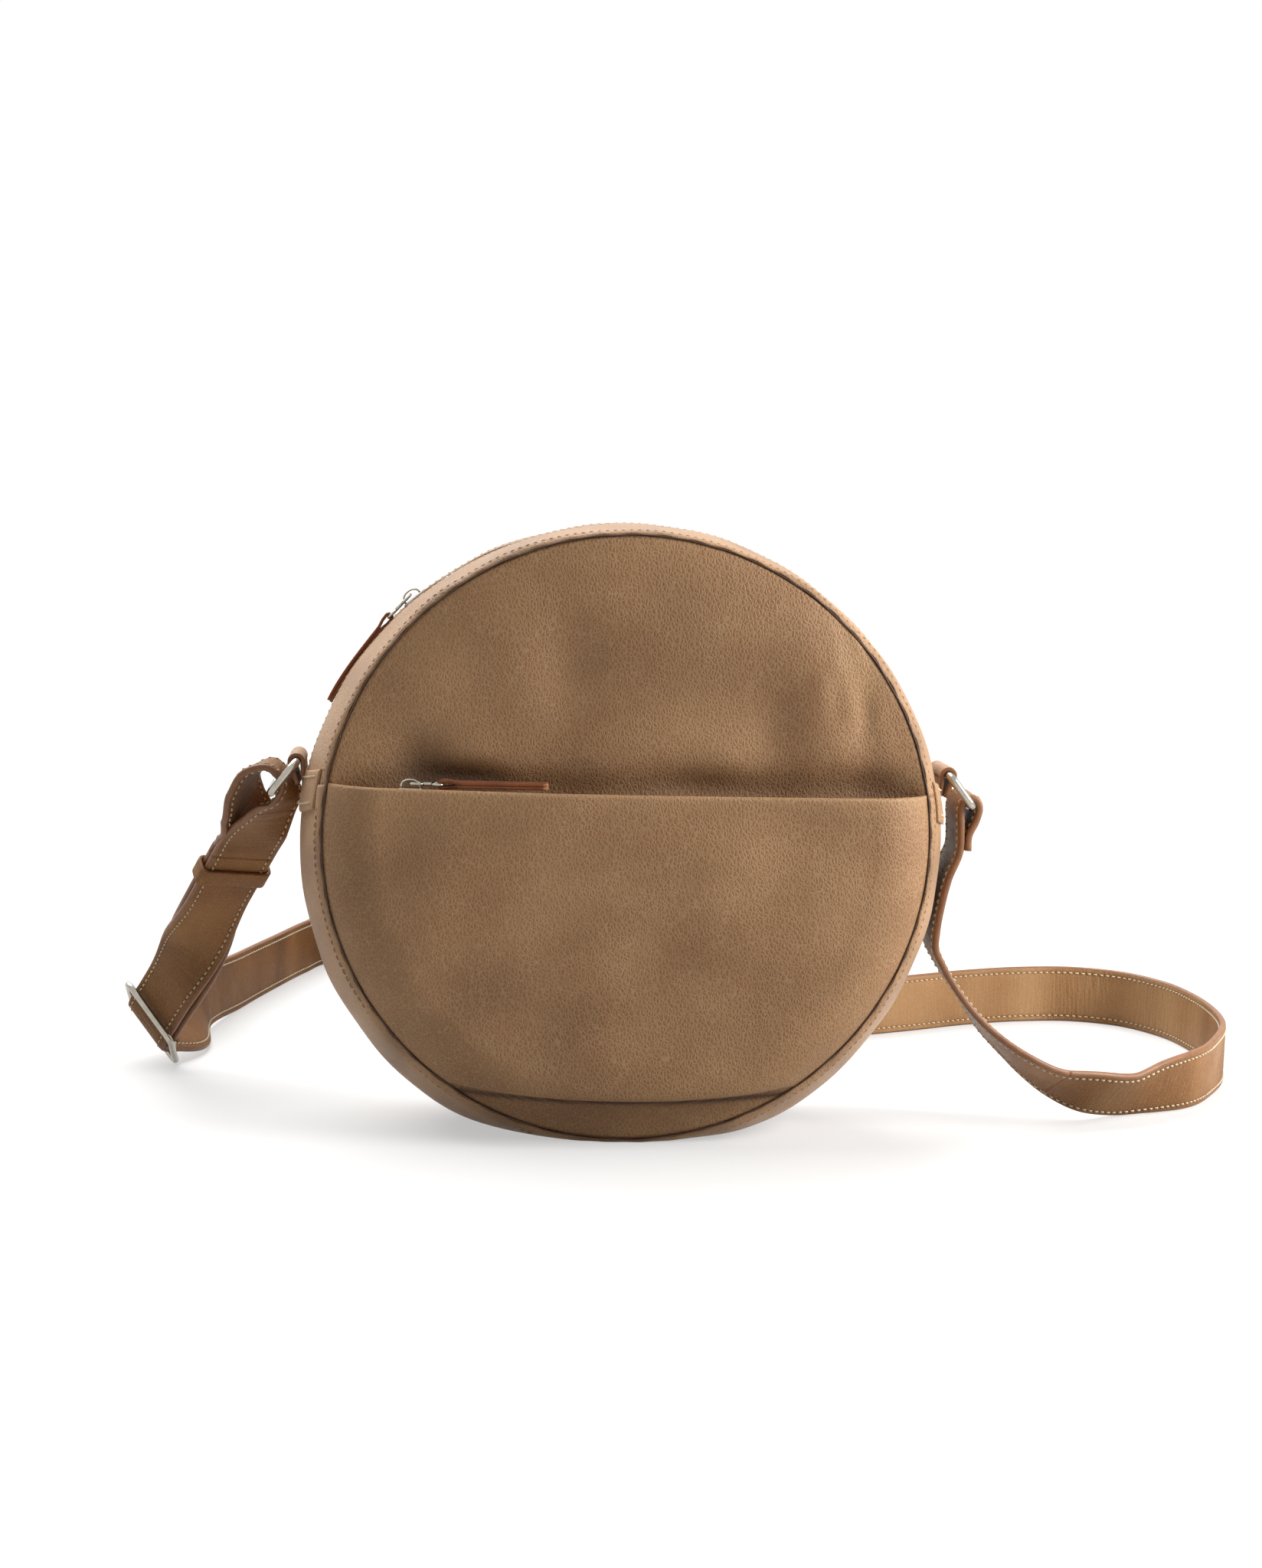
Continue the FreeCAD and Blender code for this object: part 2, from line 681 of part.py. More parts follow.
def slopes(places):
    """Direction of the line at each place: the two chords weighed by each other's length."""
    chords = [after - before for before, after in zip(places, places[1:])]
    pace = [chord * (1 / chord.Length) for chord in chords]
    lines = [pace[0]]
    for index in range(1, len(chords)):
        before, after = chords[index - 1].Length, chords[index].Length
        lines.append((pace[index - 1] * after + pace[index] * before) * (1 / (before + after)))
    return lines + [pace[-1]]


def smooth_runs(stops):
    """For each pair of neighbouring stops, stations of place, tangent and across on a smooth line."""
    places = [place for place, across in stops]
    turns = [across for place, across in stops]
    lines = slopes(places)
    runs = []
    for index in range(len(stops) - 1):
        start, end = places[index], places[index + 1]
        length = (end - start).Length
        first, last = lines[index] * length, lines[index + 1] * length
        steps = max(2, math.ceil(length / strap_step))
        run = []
        for step in range(steps + 1):
            t = step / steps
            place = (start * (2 * t ** 3 - 3 * t ** 2 + 1) + first * (t ** 3 - 2 * t ** 2 + t)
                     + end * (3 * t ** 2 - 2 * t ** 3) + last * (t ** 3 - t ** 2))
            tangent = ((end - start) * (6 * t - 6 * t ** 2) + first * (3 * t ** 2 - 4 * t + 1)
                       + last * (3 * t ** 2 - 2 * t))
            tangent.normalize()
            across = square_to(turns[index] * (1 - t) + turns[index + 1] * t, tangent)
            run.append((place, tangent, across))
        runs.append(run)
    return runs


def strap_band(stations):
    """Flat strap: a rectangle across each station, kept off the floor, joined by ruled faces."""
    rings = []
    for place, tangent, across in stations:
        side = across * (strap_width / 2)
        face = tangent.cross(across) * (strap_wall / 2)
        corners = [place - side - face, place + side - face, place + side + face, place - side + face]
        lift = vec(0, 0, max(0, -min(corner.z for corner in corners)))
        corners = [corner + lift for corner in corners]
        rings.append(Part.makePolygon(corners + corners[:1]))
    solid = Part.makeLoft(rings, True, True)
    if solid.Volume < 0:
        solid.reverse()
    return solid


def strap_pieces(place):
    route = strap_route(place)
    runs = smooth_runs([stop for name, stops in route for stop in stops])
    pieces = {}
    start = 0
    end = -1
    for name, stops in route:
        end += len(stops)
        stations = runs[start][:1] + [station for run in runs[start:end] for station in run[1:]]
        pieces[name] = strap_band(stations)
        start = end
    bore = buckle_wire / 2 + layer_gap
    half = place.across * (strap_width / 2)
    end_roll = rod(bore + end_loop_wall, place.middle - half, place.middle + half)
    rear = fused([pieces["strap_rear_strand"], end_roll])
    pieces["strap_rear_strand"] = rear.cut(rod(bore, place.middle - half * 2, place.middle + half * 2))
    return pieces


def zip_pieces():
    pieces = {}
    main_length = math.radians(2 * zip_angle) * zip_radius
    rows = (("front", -row_outer, -row_inner, -1), ("rear", row_inner, row_outer, 1))
    for name, y0, y1, side in rows:
        pieces["main_zip_tape_" + name] = main_tape(side)
        pieces["main_zip_teeth_" + name] = tooth_row(main_run, main_length, y0, y1)
        pieces["pocket_zip_tape_" + name] = pocket_tape(side)
        row_y = (pocket_zip_y + y0, pocket_zip_y + y1)
        pieces["pocket_zip_teeth_" + name] = tooth_row(pocket_run, pocket_zip_length, *row_y)
    pieces["main_zip_stops"] = zip_stops(main_run, main_length, 0)
    pieces["pocket_zip_stops"] = zip_stops(pocket_run, pocket_zip_length, pocket_zip_y)
    return pieces


def pull_pieces(name, origin, along, out, pull, hang):
    """Slider, puller and tab of one zip; the puller lies along pull and the tab along hang."""
    across = out.cross(along)
    pin = origin + out * pin_height
    return {name + "_slider": placed(slider(), origin, along, across),
            name + "_puller": placed(puller(), pin, pull, across),
            name + "_pull_tab": placed(pull_tab(), pin + pull * puller_length, hang, across)}


def main_pull():
    turn = math.radians(main_slider_angle)
    x, z = polar(main_slider_angle, zip_radius)
    out = vec(math.sin(turn), 0, math.cos(turn))
    along = vec(math.cos(turn), 0, -math.sin(turn))
    ways = [along * -math.cos(tilt) - out * math.sin(tilt)
            for tilt in (math.radians(main_pull_tilt), math.radians(main_tab_tilt))]
    return pull_pieces("main", vec(x, 0, z), along, out, *ways)


def pocket_pull():
    origin = vec(pocket_slider_x, pocket_zip_y, pocket_zip_z)
    along = vec(1, 0, 0)
    return pull_pieces("pocket", origin, along, vec(0, 0, 1), along, along)


def body_pieces():
    wedge = zip_wedge()
    edge = zip_opening / 2
    return {"front_panel": panel(-front_crown, -half_depth),
            "back_panel": panel(back_crown, half_depth),
            "pocket_panel": pocket_panel(),
            "lower_gusset": gusset_shell(-half_depth, half_depth).cut(wedge),
            "front_zip_gusset": gusset_shell(-half_depth, -edge).common(wedge),
            "rear_zip_gusset": gusset_shell(edge, half_depth).common(wedge)}


def side_pieces():
    pieces = {}
    for name, side in (("left", -1), ("right", 1)):
        pieces[name + "_side_patch"] = side_patch(side)
        pieces[name + "_ring_tab"] = ring_tab(side)
        pieces[name + "_ring"] = ring(side)
    return pieces


def main():
    os.makedirs("parts", exist_ok=True)
    place = Buckle()
    pieces = body_pieces()
    pieces.update(zip_pieces())
    pieces.update(main_pull())
    pieces.update(pocket_pull())
    pieces.update(side_pieces())
    pieces["slide_buckle"] = slide_buckle(place)
    pieces["strap_keeper"] = strap_keeper(place)
    pieces.update(strap_pieces(place))
    for name, shape in pieces.items():
        shape.exportStep("parts/" + name + ".step")
        bounds = shape.optimalBoundingBox(False)
        state = "valid" if shape.isValid() else "not valid"
        print(name, state, len(shape.Solids), "solid(s)", round(shape.Volume), "mm3, z from",
              round(bounds.ZMin, 2), "to", round(bounds.ZMax, 2))


main()
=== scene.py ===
import math

import bpy
import numpy as np
from mathutils import Matrix, Vector


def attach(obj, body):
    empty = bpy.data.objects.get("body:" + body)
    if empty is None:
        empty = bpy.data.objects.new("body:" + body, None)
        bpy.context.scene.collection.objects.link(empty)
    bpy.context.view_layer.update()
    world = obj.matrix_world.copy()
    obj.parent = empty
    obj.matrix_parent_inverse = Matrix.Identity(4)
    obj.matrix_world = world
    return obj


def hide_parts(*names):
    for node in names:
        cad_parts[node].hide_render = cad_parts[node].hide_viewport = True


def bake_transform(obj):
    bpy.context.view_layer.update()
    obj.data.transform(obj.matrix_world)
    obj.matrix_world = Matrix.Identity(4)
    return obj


# Round leather cross-body bag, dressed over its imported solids. Shapes are worked out in millimetres.
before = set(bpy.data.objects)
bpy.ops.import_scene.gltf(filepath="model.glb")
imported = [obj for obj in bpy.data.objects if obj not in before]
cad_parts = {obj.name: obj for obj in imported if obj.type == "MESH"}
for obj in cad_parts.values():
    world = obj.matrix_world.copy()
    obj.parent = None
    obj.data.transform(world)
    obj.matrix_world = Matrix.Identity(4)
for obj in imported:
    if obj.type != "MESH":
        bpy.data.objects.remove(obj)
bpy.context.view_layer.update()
mm = 0.001

bag = {"crestRadius": 136.0, "crestHeight": 120.5, "seamRadius": 125.5, "seamHeight": 127.0,
       "halfDepth": 38.0, "gussetWall": 2.0, "panelWall": 1.6, "junctionAngle": 80.5, "zipEdge": 4.6}
half = bag["halfDepth"]


def linear(hexColour):
    # sRGB hex to linear RGBA
    parts = np.array([int(hexColour[i:i + 2], 16) for i in (1, 3, 5)]) / 255
    return (*np.where(parts <= 0.04045, parts / 12.92, ((parts + 0.055) / 1.055) ** 2.4), 1.0)


def smooth(low, high, value):
    # eases from 0 at low to 1 at high
    t = np.clip((value - low) / (high - low), 0, 1)
    return t * t * (3 - 2 * t)


def hill(x, z, centre, spread):
    # round bump of height 1 with its own spread each way
    return np.exp(-((x - centre[0]) / spread[0]) ** 2 - ((z - centre[1]) / spread[1]) ** 2)


def unit(vectors):
    return vectors / np.maximum(np.linalg.norm(vectors, axis=-1, keepdims=True), 1e-9)


xWay, yWay, zWay = np.eye(3)


def alike(direction, count):
    # the same direction at every place of a path
    return np.tile(direction, (count, 1))


def dented(values, x, z, dents, inside=1.0):
    # values less a round hollow for each dent
    for deep, centre, spread in dents:
        values = values - deep * hill(x, z, centre, spread) * inside
    return values


def ripple(x, z, seed, count, shortest, longest):
    # sum of sine waves in chosen directions: soft, uneven leather, about +-1
    rng = np.random.default_rng(seed)
    turn, phase = rng.uniform(0, 2 * math.pi, (2, count))
    length = rng.uniform(shortest, longest, count)
    along = np.multiply.outer(x, np.cos(turn)) + np.multiply.outer(z, np.sin(turn))
    return np.sin(along * 2 * math.pi / length + phase).sum(-1) / count ** 0.5


# materials

def addNode(tree, kind, output, inputs=None, **settings):
    # one node with its settings and links; gives back one of its outputs
    node = tree.nodes.new("ShaderNode" + kind)
    for key, value in settings.items():
        setattr(node, key, value)
    for key, value in (inputs or {}).items():
        if isinstance(value, bpy.types.NodeSocket):
            tree.links.new(value, node.inputs[key])
        else:
            node.inputs[key].default_value = value
    return node.outputs[output]


def worked(tree, operation, *values):
    # one sum on up to three numbers
    return addNode(tree, "Math", 0, dict(enumerate(values)), operation=operation)


def ranged(tree, value, low, high, toLow=0.0, toHigh=1.0, **settings):
    # carries low and high over to toLow and toHigh, and stops there
    ends = {"Value": value, "From Min": low, "From Max": high, "To Min": toLow, "To Max": toHigh}
    return addNode(tree, "MapRange", 0, ends, **settings)


def noise(tree, place, sizeMm, detail, roughness=0.5, output="Fac"):
    inputs = {"Vector": place, "Scale": 1 / (sizeMm * mm), "Detail": detail, "Roughness": roughness}
    return addNode(tree, "TexNoise", output, inputs)


def cells(tree, place, sizeMm, **settings):
    return addNode(tree, "TexVoronoi", "Distance", {"Vector": place, "Scale": 1 / (sizeMm * mm)}, **settings)


def mixed(tree, amount, low, high):
    # blend of two colours, each a hex or a socket
    first, second = (linear(shade) if isinstance(shade, str) else shade for shade in (low, high))
    return addNode(tree, "Mix", 2, {0: amount, 6: first, 7: second}, data_type="RGBA")


def raised(tree, shader, height, strength, distanceMm):
    # small relief from a height
    inputs = {"Height": height, "Strength": strength, "Distance": distanceMm * mm}
    tree.links.new(addNode(tree, "Bump", "Normal", inputs), shader.inputs["Normal"])


def newMaterial(name, **sockets):
    material = bpy.data.materials.new(name)
    material.use_nodes = True
    tree = material.node_tree
    shader = tree.nodes["Principled BSDF"]
    for key, value in sockets.items():
        shader.inputs[key.replace("_", " ")].default_value = value
    return material, tree, shader


def leather(name, look):
    # drum-tumbled cowhide: pebbles about a millimetre and a half wide with paler creases between them, cloudy
    # dye and a soft waxy sheen; "tone" makes it paler or darker, at random and where rubbed, and as painted
    # light and painted shade; a second attribute lays on a grey painted sheen, a painted reflection; and
    # "crease" is where bending has wrinkled it across its length
    material, tree, shader = newMaterial(name, Sheen_Weight=look["sheen"], Sheen_Roughness=0.45,
                                         Specular_IOR_Level=look["gloss"])
    place = addNode(tree, "TexCoord", "Object")
    drift = noise(tree, place, look["driftMm"], 2.0, output="Color")
    centred = addNode(tree, "VectorMath", 0, {0: drift, 1: (0.5, 0.5, 0.5)}, operation="SUBTRACT")
    pushed = addNode(tree, "VectorMath", 0, {0: centred, "Scale": look["driftBy"] * mm}, operation="SCALE")
    drifted = addNode(tree, "VectorMath", 0, {0: place, 1: pushed}, operation="ADD")
    warped = addNode(tree, "Mapping", 0, {"Vector": drifted, "Rotation": (0.0, look["grainTurn"], 0.0),
                                          "Scale": (1.0, 1.0, look["stretch"])})
    pebble = cells(tree, warped, look["grainMm"], feature="DISTANCE_TO_EDGE")
    minor = cells(tree, warped, look["minorShare"] * look["grainMm"], feature="DISTANCE_TO_EDGE")
    patch = noise(tree, place, look["cloudMm"], 4.0, 0.55)
    fleck = noise(tree, place, look["fleckMm"], 3.0)
    cloud = ranged(tree, patch, 0.32, 0.68)
    main = ranged(tree, pebble, 0.0, look["lineWidth"], 1.0, 0.0, interpolation_type="SMOOTHSTEP")
    fine = ranged(tree, minor, 0.0, look["fineWidth"], look["fineShow"], 0.0, interpolation_type="SMOOTHSTEP")
    lines = worked(tree, "MAXIMUM", main, fine)
    shown = ranged(tree, fleck, 0.25, 0.75, 0.35 * look["lineShow"], look["lineShow"])
    dyed = mixed(tree, cloud, look["deep"], look["base"])
    colour = mixed(tree, worked(tree, "MULTIPLY", lines, shown), dyed, look["pale"])
    tone = addNode(tree, "Attribute", "Fac", attribute_name="tone")
    ash = addNode(tree, "Attribute", "Fac", attribute_name="ash")
    # tone above 0 mixes in the paler colour (wear and painted light), below 0 the dark one (painted shade and
    # random darkening), and the sheen attribute a grey painted sheen
    for value, limit, shade in ((tone, 1.0, "wearAndLight"), (tone, -1.0, "dark"), (ash, 1.0, "paintedSheenColour")):
        colour = mixed(tree, ranged(tree, value, 0.0, limit), colour, look[shade])
    tree.links.new(colour, shader.inputs["Base Color"])
    rough = ranged(tree, fleck, 0.3, 0.7, look["rough"] - 0.07, look["rough"] + 0.08)
    tree.links.new(rough, shader.inputs["Roughness"])
    # relief: domed pebbles on a soft unevenness, less the fine lines, and the wrinkles of a bend
    dome = ranged(tree, pebble, 0.0, 0.3, interpolation_type="SMOOTHSTEP")
    height = worked(tree, "MULTIPLY_ADD", fleck, 0.5, dome)
    height = worked(tree, "MULTIPLY_ADD", fine, -0.35, height)
    along = addNode(tree, "Mapping", 0, {"Vector": addNode(tree, "UVMap", "UV"), "Scale": (0.06, 0.55, 1.0)})
    wrinkle = addNode(tree, "TexNoise", "Fac",
                      {"Vector": along, "Scale": 1.0, "Detail": 3.0, "Distortion": 0.6})
    crease = addNode(tree, "Attribute", "Fac", attribute_name="crease")
    folded = worked(tree, "MULTIPLY", wrinkle, crease)
    height = worked(tree, "MULTIPLY_ADD", folded, look["wrinkle"], height)
    raised(tree, shader, height, look["bump"], look["reliefMm"])
    return material


# the paler tone colour serves wear and painted light, the dark one painted shade, and the grey one a painted
# sheen
bodyLook = {"deep": "#926843", "base": "#a57c54", "pale": "#d0b08a", "wearAndLight": "#cfa87c", "dark": "#3a1e0a",
            "paintedSheenColour": "#9a938a", "grainMm": 1.45, "driftMm": 2.2, "driftBy": 1.3, "stretch": 0.72,
            "grainTurn": 0.6, "minorShare": 0.6, "lineWidth": 0.13, "fineWidth": 0.07, "fineShow": 0.4,
            "wrinkle": 18.0, "reliefMm": 0.36, "cloudMm": 52.0, "fleckMm": 8.0, "lineShow": 0.5, "rough": 0.5,
            "bump": 0.42, "sheen": 0.04, "gloss": 0.34}
# the gusset's base and deep colours are paler than the body's: painted light for its brighter-lit top and
# sides
gussetLitLook = dict(bodyLook, grainMm=1.3, lineShow=0.35, base="#b68a60", deep="#a3784e", sheen=0.16, gloss=0.5)
strapLook = dict(bodyLook, grainMm=1.4, cloudMm=30.0, lineShow=0.25, bump=0.3, base="#98693d", deep="#80552d",
                 gloss=0.15, sheen=0.0)
tabLook = dict(bodyLook, grainMm=1.0, cloudMm=18.0, lineShow=0.12, bump=0.25, deep="#76401f", base="#8f522a",
               pale="#a5653a", wearAndLight="#c08a5c", dark="#3a1c0e", rough=0.46)


def edgePaint(name, light, dark):
    # cut edges sealed with brown paint and rubbed: even, slightly glossy, faintly streaked
    material, tree, shader = newMaterial(name, Roughness=0.45)
    streak = noise(tree, addNode(tree, "TexCoord", "Object"), 4, 4.0)
    tree.links.new(mixed(tree, streak, dark, light), shader.inputs["Base Color"])
    raised(tree, shader, streak, 0.3, 0.2)
    return material


def waxedThread(name, pale, dark):
    # twisted, waxed polyester thread: pale with darker twist marks
    material, tree, shader = newMaterial(name, Roughness=0.6)
    twist = noise(tree, addNode(tree, "TexCoord", "Object"), 0.7, 2.0)
    tree.links.new(mixed(tree, twist, dark, pale), shader.inputs["Base Color"])
    return material


def nickelPlate(name, dull, bright, roughness):
    # polished nickel plate on cast zinc: bright and slightly warm, with fine wear that breaks the gloss
    material, tree, shader = newMaterial(name, Metallic=1.0)
    smear = noise(tree, addNode(tree, "TexCoord", "Object"), 3, 5.0, 0.65)
    gloss = ranged(tree, smear, 0.3, 0.7, roughness * 0.6, roughness * 1.7)
    tree.links.new(gloss, shader.inputs["Roughness"])
    tree.links.new(mixed(tree, smear, dull, bright), shader.inputs["Base Color"])
    return material


def wovenTape(name, light, dark):
    # woven cotton zip tape: a fine weave about 0.8 mm across
    material, tree, shader = newMaterial(name, Roughness=0.85)
    weave = cells(tree, addNode(tree, "TexCoord", "Object"), 0.8)
    tree.links.new(mixed(tree, weave, light, dark), shader.inputs["Base Color"])
    raised(tree, shader, weave, 0.6, 0.2)
    return material


bodyLeather = leather("tumbledLeatherBody", bodyLook)
gussetLitLeather = leather("tumbledLeatherGussetLit", gussetLitLook)
strapLeather = leather("tumbledLeatherStrap", strapLook)
tabLeather = leather("russetLeatherPull", tabLook)
brownEdge = edgePaint("paintedLeatherEdge", "#9a6a42", "#6b4125")
# a dark brown tube along each seam stands in for the shade in the seam's groove: a painted shadow
paintedSeamShadow = edgePaint("seamShadowPaint", "#50311b", "#321d0e")
creamThread = waxedThread("creamThread", "#efe2c8", "#bfa57e")
tanThread = waxedThread("tanThread", "#c3a279", "#7d5c39")
nickel = nickelPlate("polishedNickel", "#8b8478", "#c2bdb3", 0.15)
toothMetal = nickelPlate("castNickelTeeth", "#8f887c", "#c2bdb3", 0.3)
zipCloth = wovenTape("zipTapeCotton", "#8a6a48", "#54402b")
print("materials made")


# mesh building: a shape is an array of points with blocks of faces, one block per number of corners

def gridFaces(rows, cols, wrapRows=False, wrapCols=False):
    # quads of a rows x cols grid of points, closed round where asked
    i, j = np.meshgrid(np.arange(rows if wrapRows else rows - 1), np.arange(cols if wrapCols else cols - 1),
                       indexing="ij")
    down, right = (i + 1) % rows, (j + 1) % cols
    return np.stack([i * cols + j, i * cols + right, down * cols + right, down * cols + j], -1).reshape(-1, 4)


def newPiece(name, shape, materials, body="bag", nodes=(), slot=None, picks=None, ride=True, uv=None,
             **attributes):
    points, blocks = shape
    faces = [face for block in blocks for face in block.tolist()]
    mesh = bpy.data.meshes.new(name)
    mesh.from_pydata((points.reshape(-1, 3) * mm).tolist(), [], faces)
    for material in materials if isinstance(materials, list) else [materials]:
        mesh.materials.append(material)
    sides = np.zeros(len(mesh.polygons), np.int32)
    mesh.polygons.foreach_get("loop_total", sides)
    mesh.polygons.foreach_set("use_smooth", sides < 5)  # end caps stay flat
    if picks is not None:
        mesh.polygons.foreach_set("material_index", np.asarray(picks, np.int32))
    for label, values in attributes.items():
        layer = mesh.attributes.new(label, "FLOAT", "POINT")
        layer.data.foreach_set("value", np.asarray(values, np.float32).ravel())
    if uv is not None:
        corners = np.zeros(len(mesh.loops), np.int32)
        mesh.loops.foreach_get("vertex_index", corners)
        mesh.uv_layers.new(name="UVMap").data.foreach_set("uv", uv[corners].astype(np.float32).ravel())
    mesh.update()
    piece = bpy.data.objects.new(name, mesh)
    bpy.context.scene.collection.objects.link(piece)
    if ride:
        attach(piece, body)
    if nodes:
        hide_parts(*nodes)
    return piece


def dressed(name, shape, materials, slot, moves=False, **options):
    # a piece in place of the solid of its own name, on the body of that name where it moves
    return newPiece(name, shape, materials, name if moves else "bag", [name], slot, **options)


def gridNormals(points):
    # cross product of the two directions of the grid
    return unit(np.cross(np.gradient(points, axis=0), np.gradient(points, axis=1)))


def shell(outer, wall, outward, tone=None):
    # outer grid, the same grid moved in along its normals by the wall, and a strip round the border;
    # outward is a rough direction out of the wall, which decides the way round
    if np.sum(gridNormals(outer) * outward) < 0:
        outer = outer[:, ::-1]
        tone = None if tone is None else tone[:, ::-1]
        wall = wall[:, ::-1] if np.ndim(wall) else wall
    rows, cols = outer.shape[:2]
    inner = outer - gridNormals(outer) * np.asarray(wall, float)[..., None]
    count = rows * cols
    faces = gridFaces(rows, cols)[:, ::-1]
    index = np.arange(count).reshape(rows, cols)
    border = np.concatenate([index[0, :-1], index[:-1, -1], index[-1, :0:-1], index[:0:-1, 0]])
    after = np.roll(border, -1)
    strip = np.stack([border, after, after + count, border + count], -1)
    tones = np.zeros(2 * count) if tone is None else np.concatenate([tone.ravel(), tone.ravel()])
    return (np.concatenate([outer.reshape(-1, 3), inner.reshape(-1, 3)]),
            [np.concatenate([faces, faces[:, ::-1] + count, strip])]), tones


def tube(path, across, up, profile, closed=False, widths=None):
    # a closed profile carried along a path on two directions, capped at the ends unless the path is closed
    widths = np.ones(len(path)) if widths is None else widths
    points = (path[:, None] + profile[None, :, :1] * widths[:, None, None] * across[:, None]
              + profile[None, :, 1:] * up[:, None])
    rows, cols = points.shape[:2]
    blocks = [gridFaces(rows, cols, closed, True)]
    if not closed:
        ring = np.arange(cols)
        blocks.append(np.stack([ring[::-1], ring + (rows - 1) * cols]))
    # the profile's way round against the path decides which way the faces look
    turn = np.sum(profile[:, 0] * np.roll(profile[:, 1], -1) - np.roll(profile[:, 0], -1) * profile[:, 1])
    heading = np.sum(np.cross(across, up) * np.gradient(path, axis=0))
    if turn * heading < 0:
        blocks = [block[:, ::-1] for block in blocks]
    return points.reshape(-1, 3), blocks


def circleProfile(radius, count=16):
    turn = np.linspace(0, 2 * math.pi, count, endpoint=False)
    return np.stack([radius * np.cos(turn), radius * np.sin(turn)], -1)


def roundedProfile(width, height, corner, perCorner=5):
    # rectangle with round corners, anticlockwise from its right side
    angle = np.linspace(0, math.pi / 2, perCorner)[None] + np.arange(4)[:, None] * math.pi / 2
    inset = np.array([width / 2 - corner, height / 2 - corner])
    centres = np.array([(1, 1), (-1, 1), (-1, -1), (1, -1)]) * inset
    return (centres[:, None] + corner * np.stack([np.cos(angle), np.sin(angle)], -1)).reshape(-1, 2)


def loopPath(width, length, corner, perCorner=8):
    # middle line of a rounded rectangle in X and Y that starts at y = 0, with its two directions
    ring = roundedProfile(width, length, corner, perCorner) + np.array([0, length / 2])
    flat = np.concatenate([ring, np.zeros((len(ring), 1))], 1)
    tangent = unit(np.roll(flat, -1, 0) - np.roll(flat, 1, 0))
    up = alike(zWay, len(flat))
    return flat, np.cross(tangent, up), up


def superSolid(size, roundness, rows=8, cols=12):
    # superellipsoid: a soft-edged block of the given size
    a, b = np.meshgrid(np.linspace(-math.pi / 2, math.pi / 2, rows)[1:-1],
                       np.linspace(0, 2 * math.pi, cols, endpoint=False), indexing="ij")
    bent = [np.sign(v) * np.abs(v) ** roundness for v in (np.cos(a), np.cos(b), np.sin(b), np.sin(a))]
    points = np.stack([bent[0] * bent[1], bent[0] * bent[2], bent[3]], -1).reshape(-1, 3)
    points = np.concatenate([points, [[0, 0, -1], [0, 0, 1]]]) * np.array(size) / 2
    ring = np.arange(cols)
    after = np.roll(ring, -1)
    low, high, top = len(points) - 2, len(points) - 1, (rows - 3) * cols
    ends = np.concatenate([np.stack([low + 0 * ring, after, ring], -1),
                           np.stack([high + 0 * ring, top + ring, top + after], -1)])
    return points, [gridFaces(rows - 2, cols, False, True), ends]


def moved(shape, offset):
    return shape[0] + np.array(offset), shape[1]


def placed(shape, origin, xAxis, yAxis):
    # shape with its own X and Y turned to the two directions
    xAxis, yAxis = unit(np.array(xAxis, float)), unit(np.array(yAxis, float))
    return np.array(origin) + shape[0] @ np.stack([xAxis, yAxis, np.cross(xAxis, yAxis)]), shape[1]


def joined(shapes):
    offsets = np.cumsum([0] + [len(points) for points, blocks in shapes])
    blocks = [block + offset for (points, some), offset in zip(shapes, offsets) for block in some]
    return np.concatenate([points for points, some in shapes]), blocks


def repeated(shape, centres, xAxes, yAxes):
    # one small shape set at many places with its own directions
    points, blocks = shape
    axes = np.stack([xAxes, yAxes, np.cross(xAxes, yAxes)], 1)
    copies = centres[:, None] + np.einsum("pk,nkc->npc", points, axes)
    shift = np.arange(len(centres))[:, None, None] * len(points)
    return copies.reshape(-1, 3), [(block[None] + shift).reshape(-1, block.shape[1]) for block in blocks]


def stitchShape(length, width):
    # one stitch: a short thread that dips into the leather at both ends
    path = np.stack([np.linspace(-0.5, 0.5, 5) * length, np.zeros(5),
                     np.array([-0.5, 0.2, 0.36, 0.2, -0.5]) * width], -1)
    return tube(path, alike(yWay, 5), alike(zWay, 5), circleProfile(width / 2, 6))


def stitchRow(name, path, out, look, thread, **options):
    # stitches at an even pitch along a path, lying on its outward direction
    run = np.concatenate([[0], np.cumsum(np.linalg.norm(np.diff(path, axis=0), axis=1))])
    at = np.arange(look["pitch"] / 2, run[-1], look["pitch"])
    centres, outs, tangents = [np.stack([np.interp(at, run, values[:, k]) for k in range(3)], -1)
                               for values in (path, out, np.gradient(path, run, axis=0))]
    outs, tangents = unit(outs), unit(tangents)
    sides = unit(np.cross(outs, tangents))
    shape = repeated(stitchShape(look["length"], look["width"]), centres, np.cross(sides, outs), sides)
    return newPiece(name, shape, thread, **options)


# body of the bag

gusset = {"curl": 2.4, "curlDrop": 1.6, "wave": 0.3, "soleRound": 8.0, "zipCurl": 1.6, "zipDrop": 0.3,
          "seamStitchIn": 2.2, "zipStitchIn": 3.2, "pucker": 0.25, "puckerTurns": 61, "soleLeast": 0.8,
          "soleReach": 40.0, "rowDraw": 0.14, "edgeBand": 5.0}
seamStitch = {"pitch": 3.3, "length": 2.2, "width": 0.6}
zipStitch = {"pitch": 3.2, "length": 2.1, "width": 0.6}


def arch(y):
    # the gusset's radius shrinks and its axis rises with the square of the depth
    share = (y / half) ** 2
    edgeRadius = bag["seamRadius"] + bag["gussetWall"]
    return (bag["crestRadius"] + (edgeRadius - bag["crestRadius"]) * share,
            bag["crestHeight"] + (bag["seamHeight"] - bag["crestHeight"]) * share)


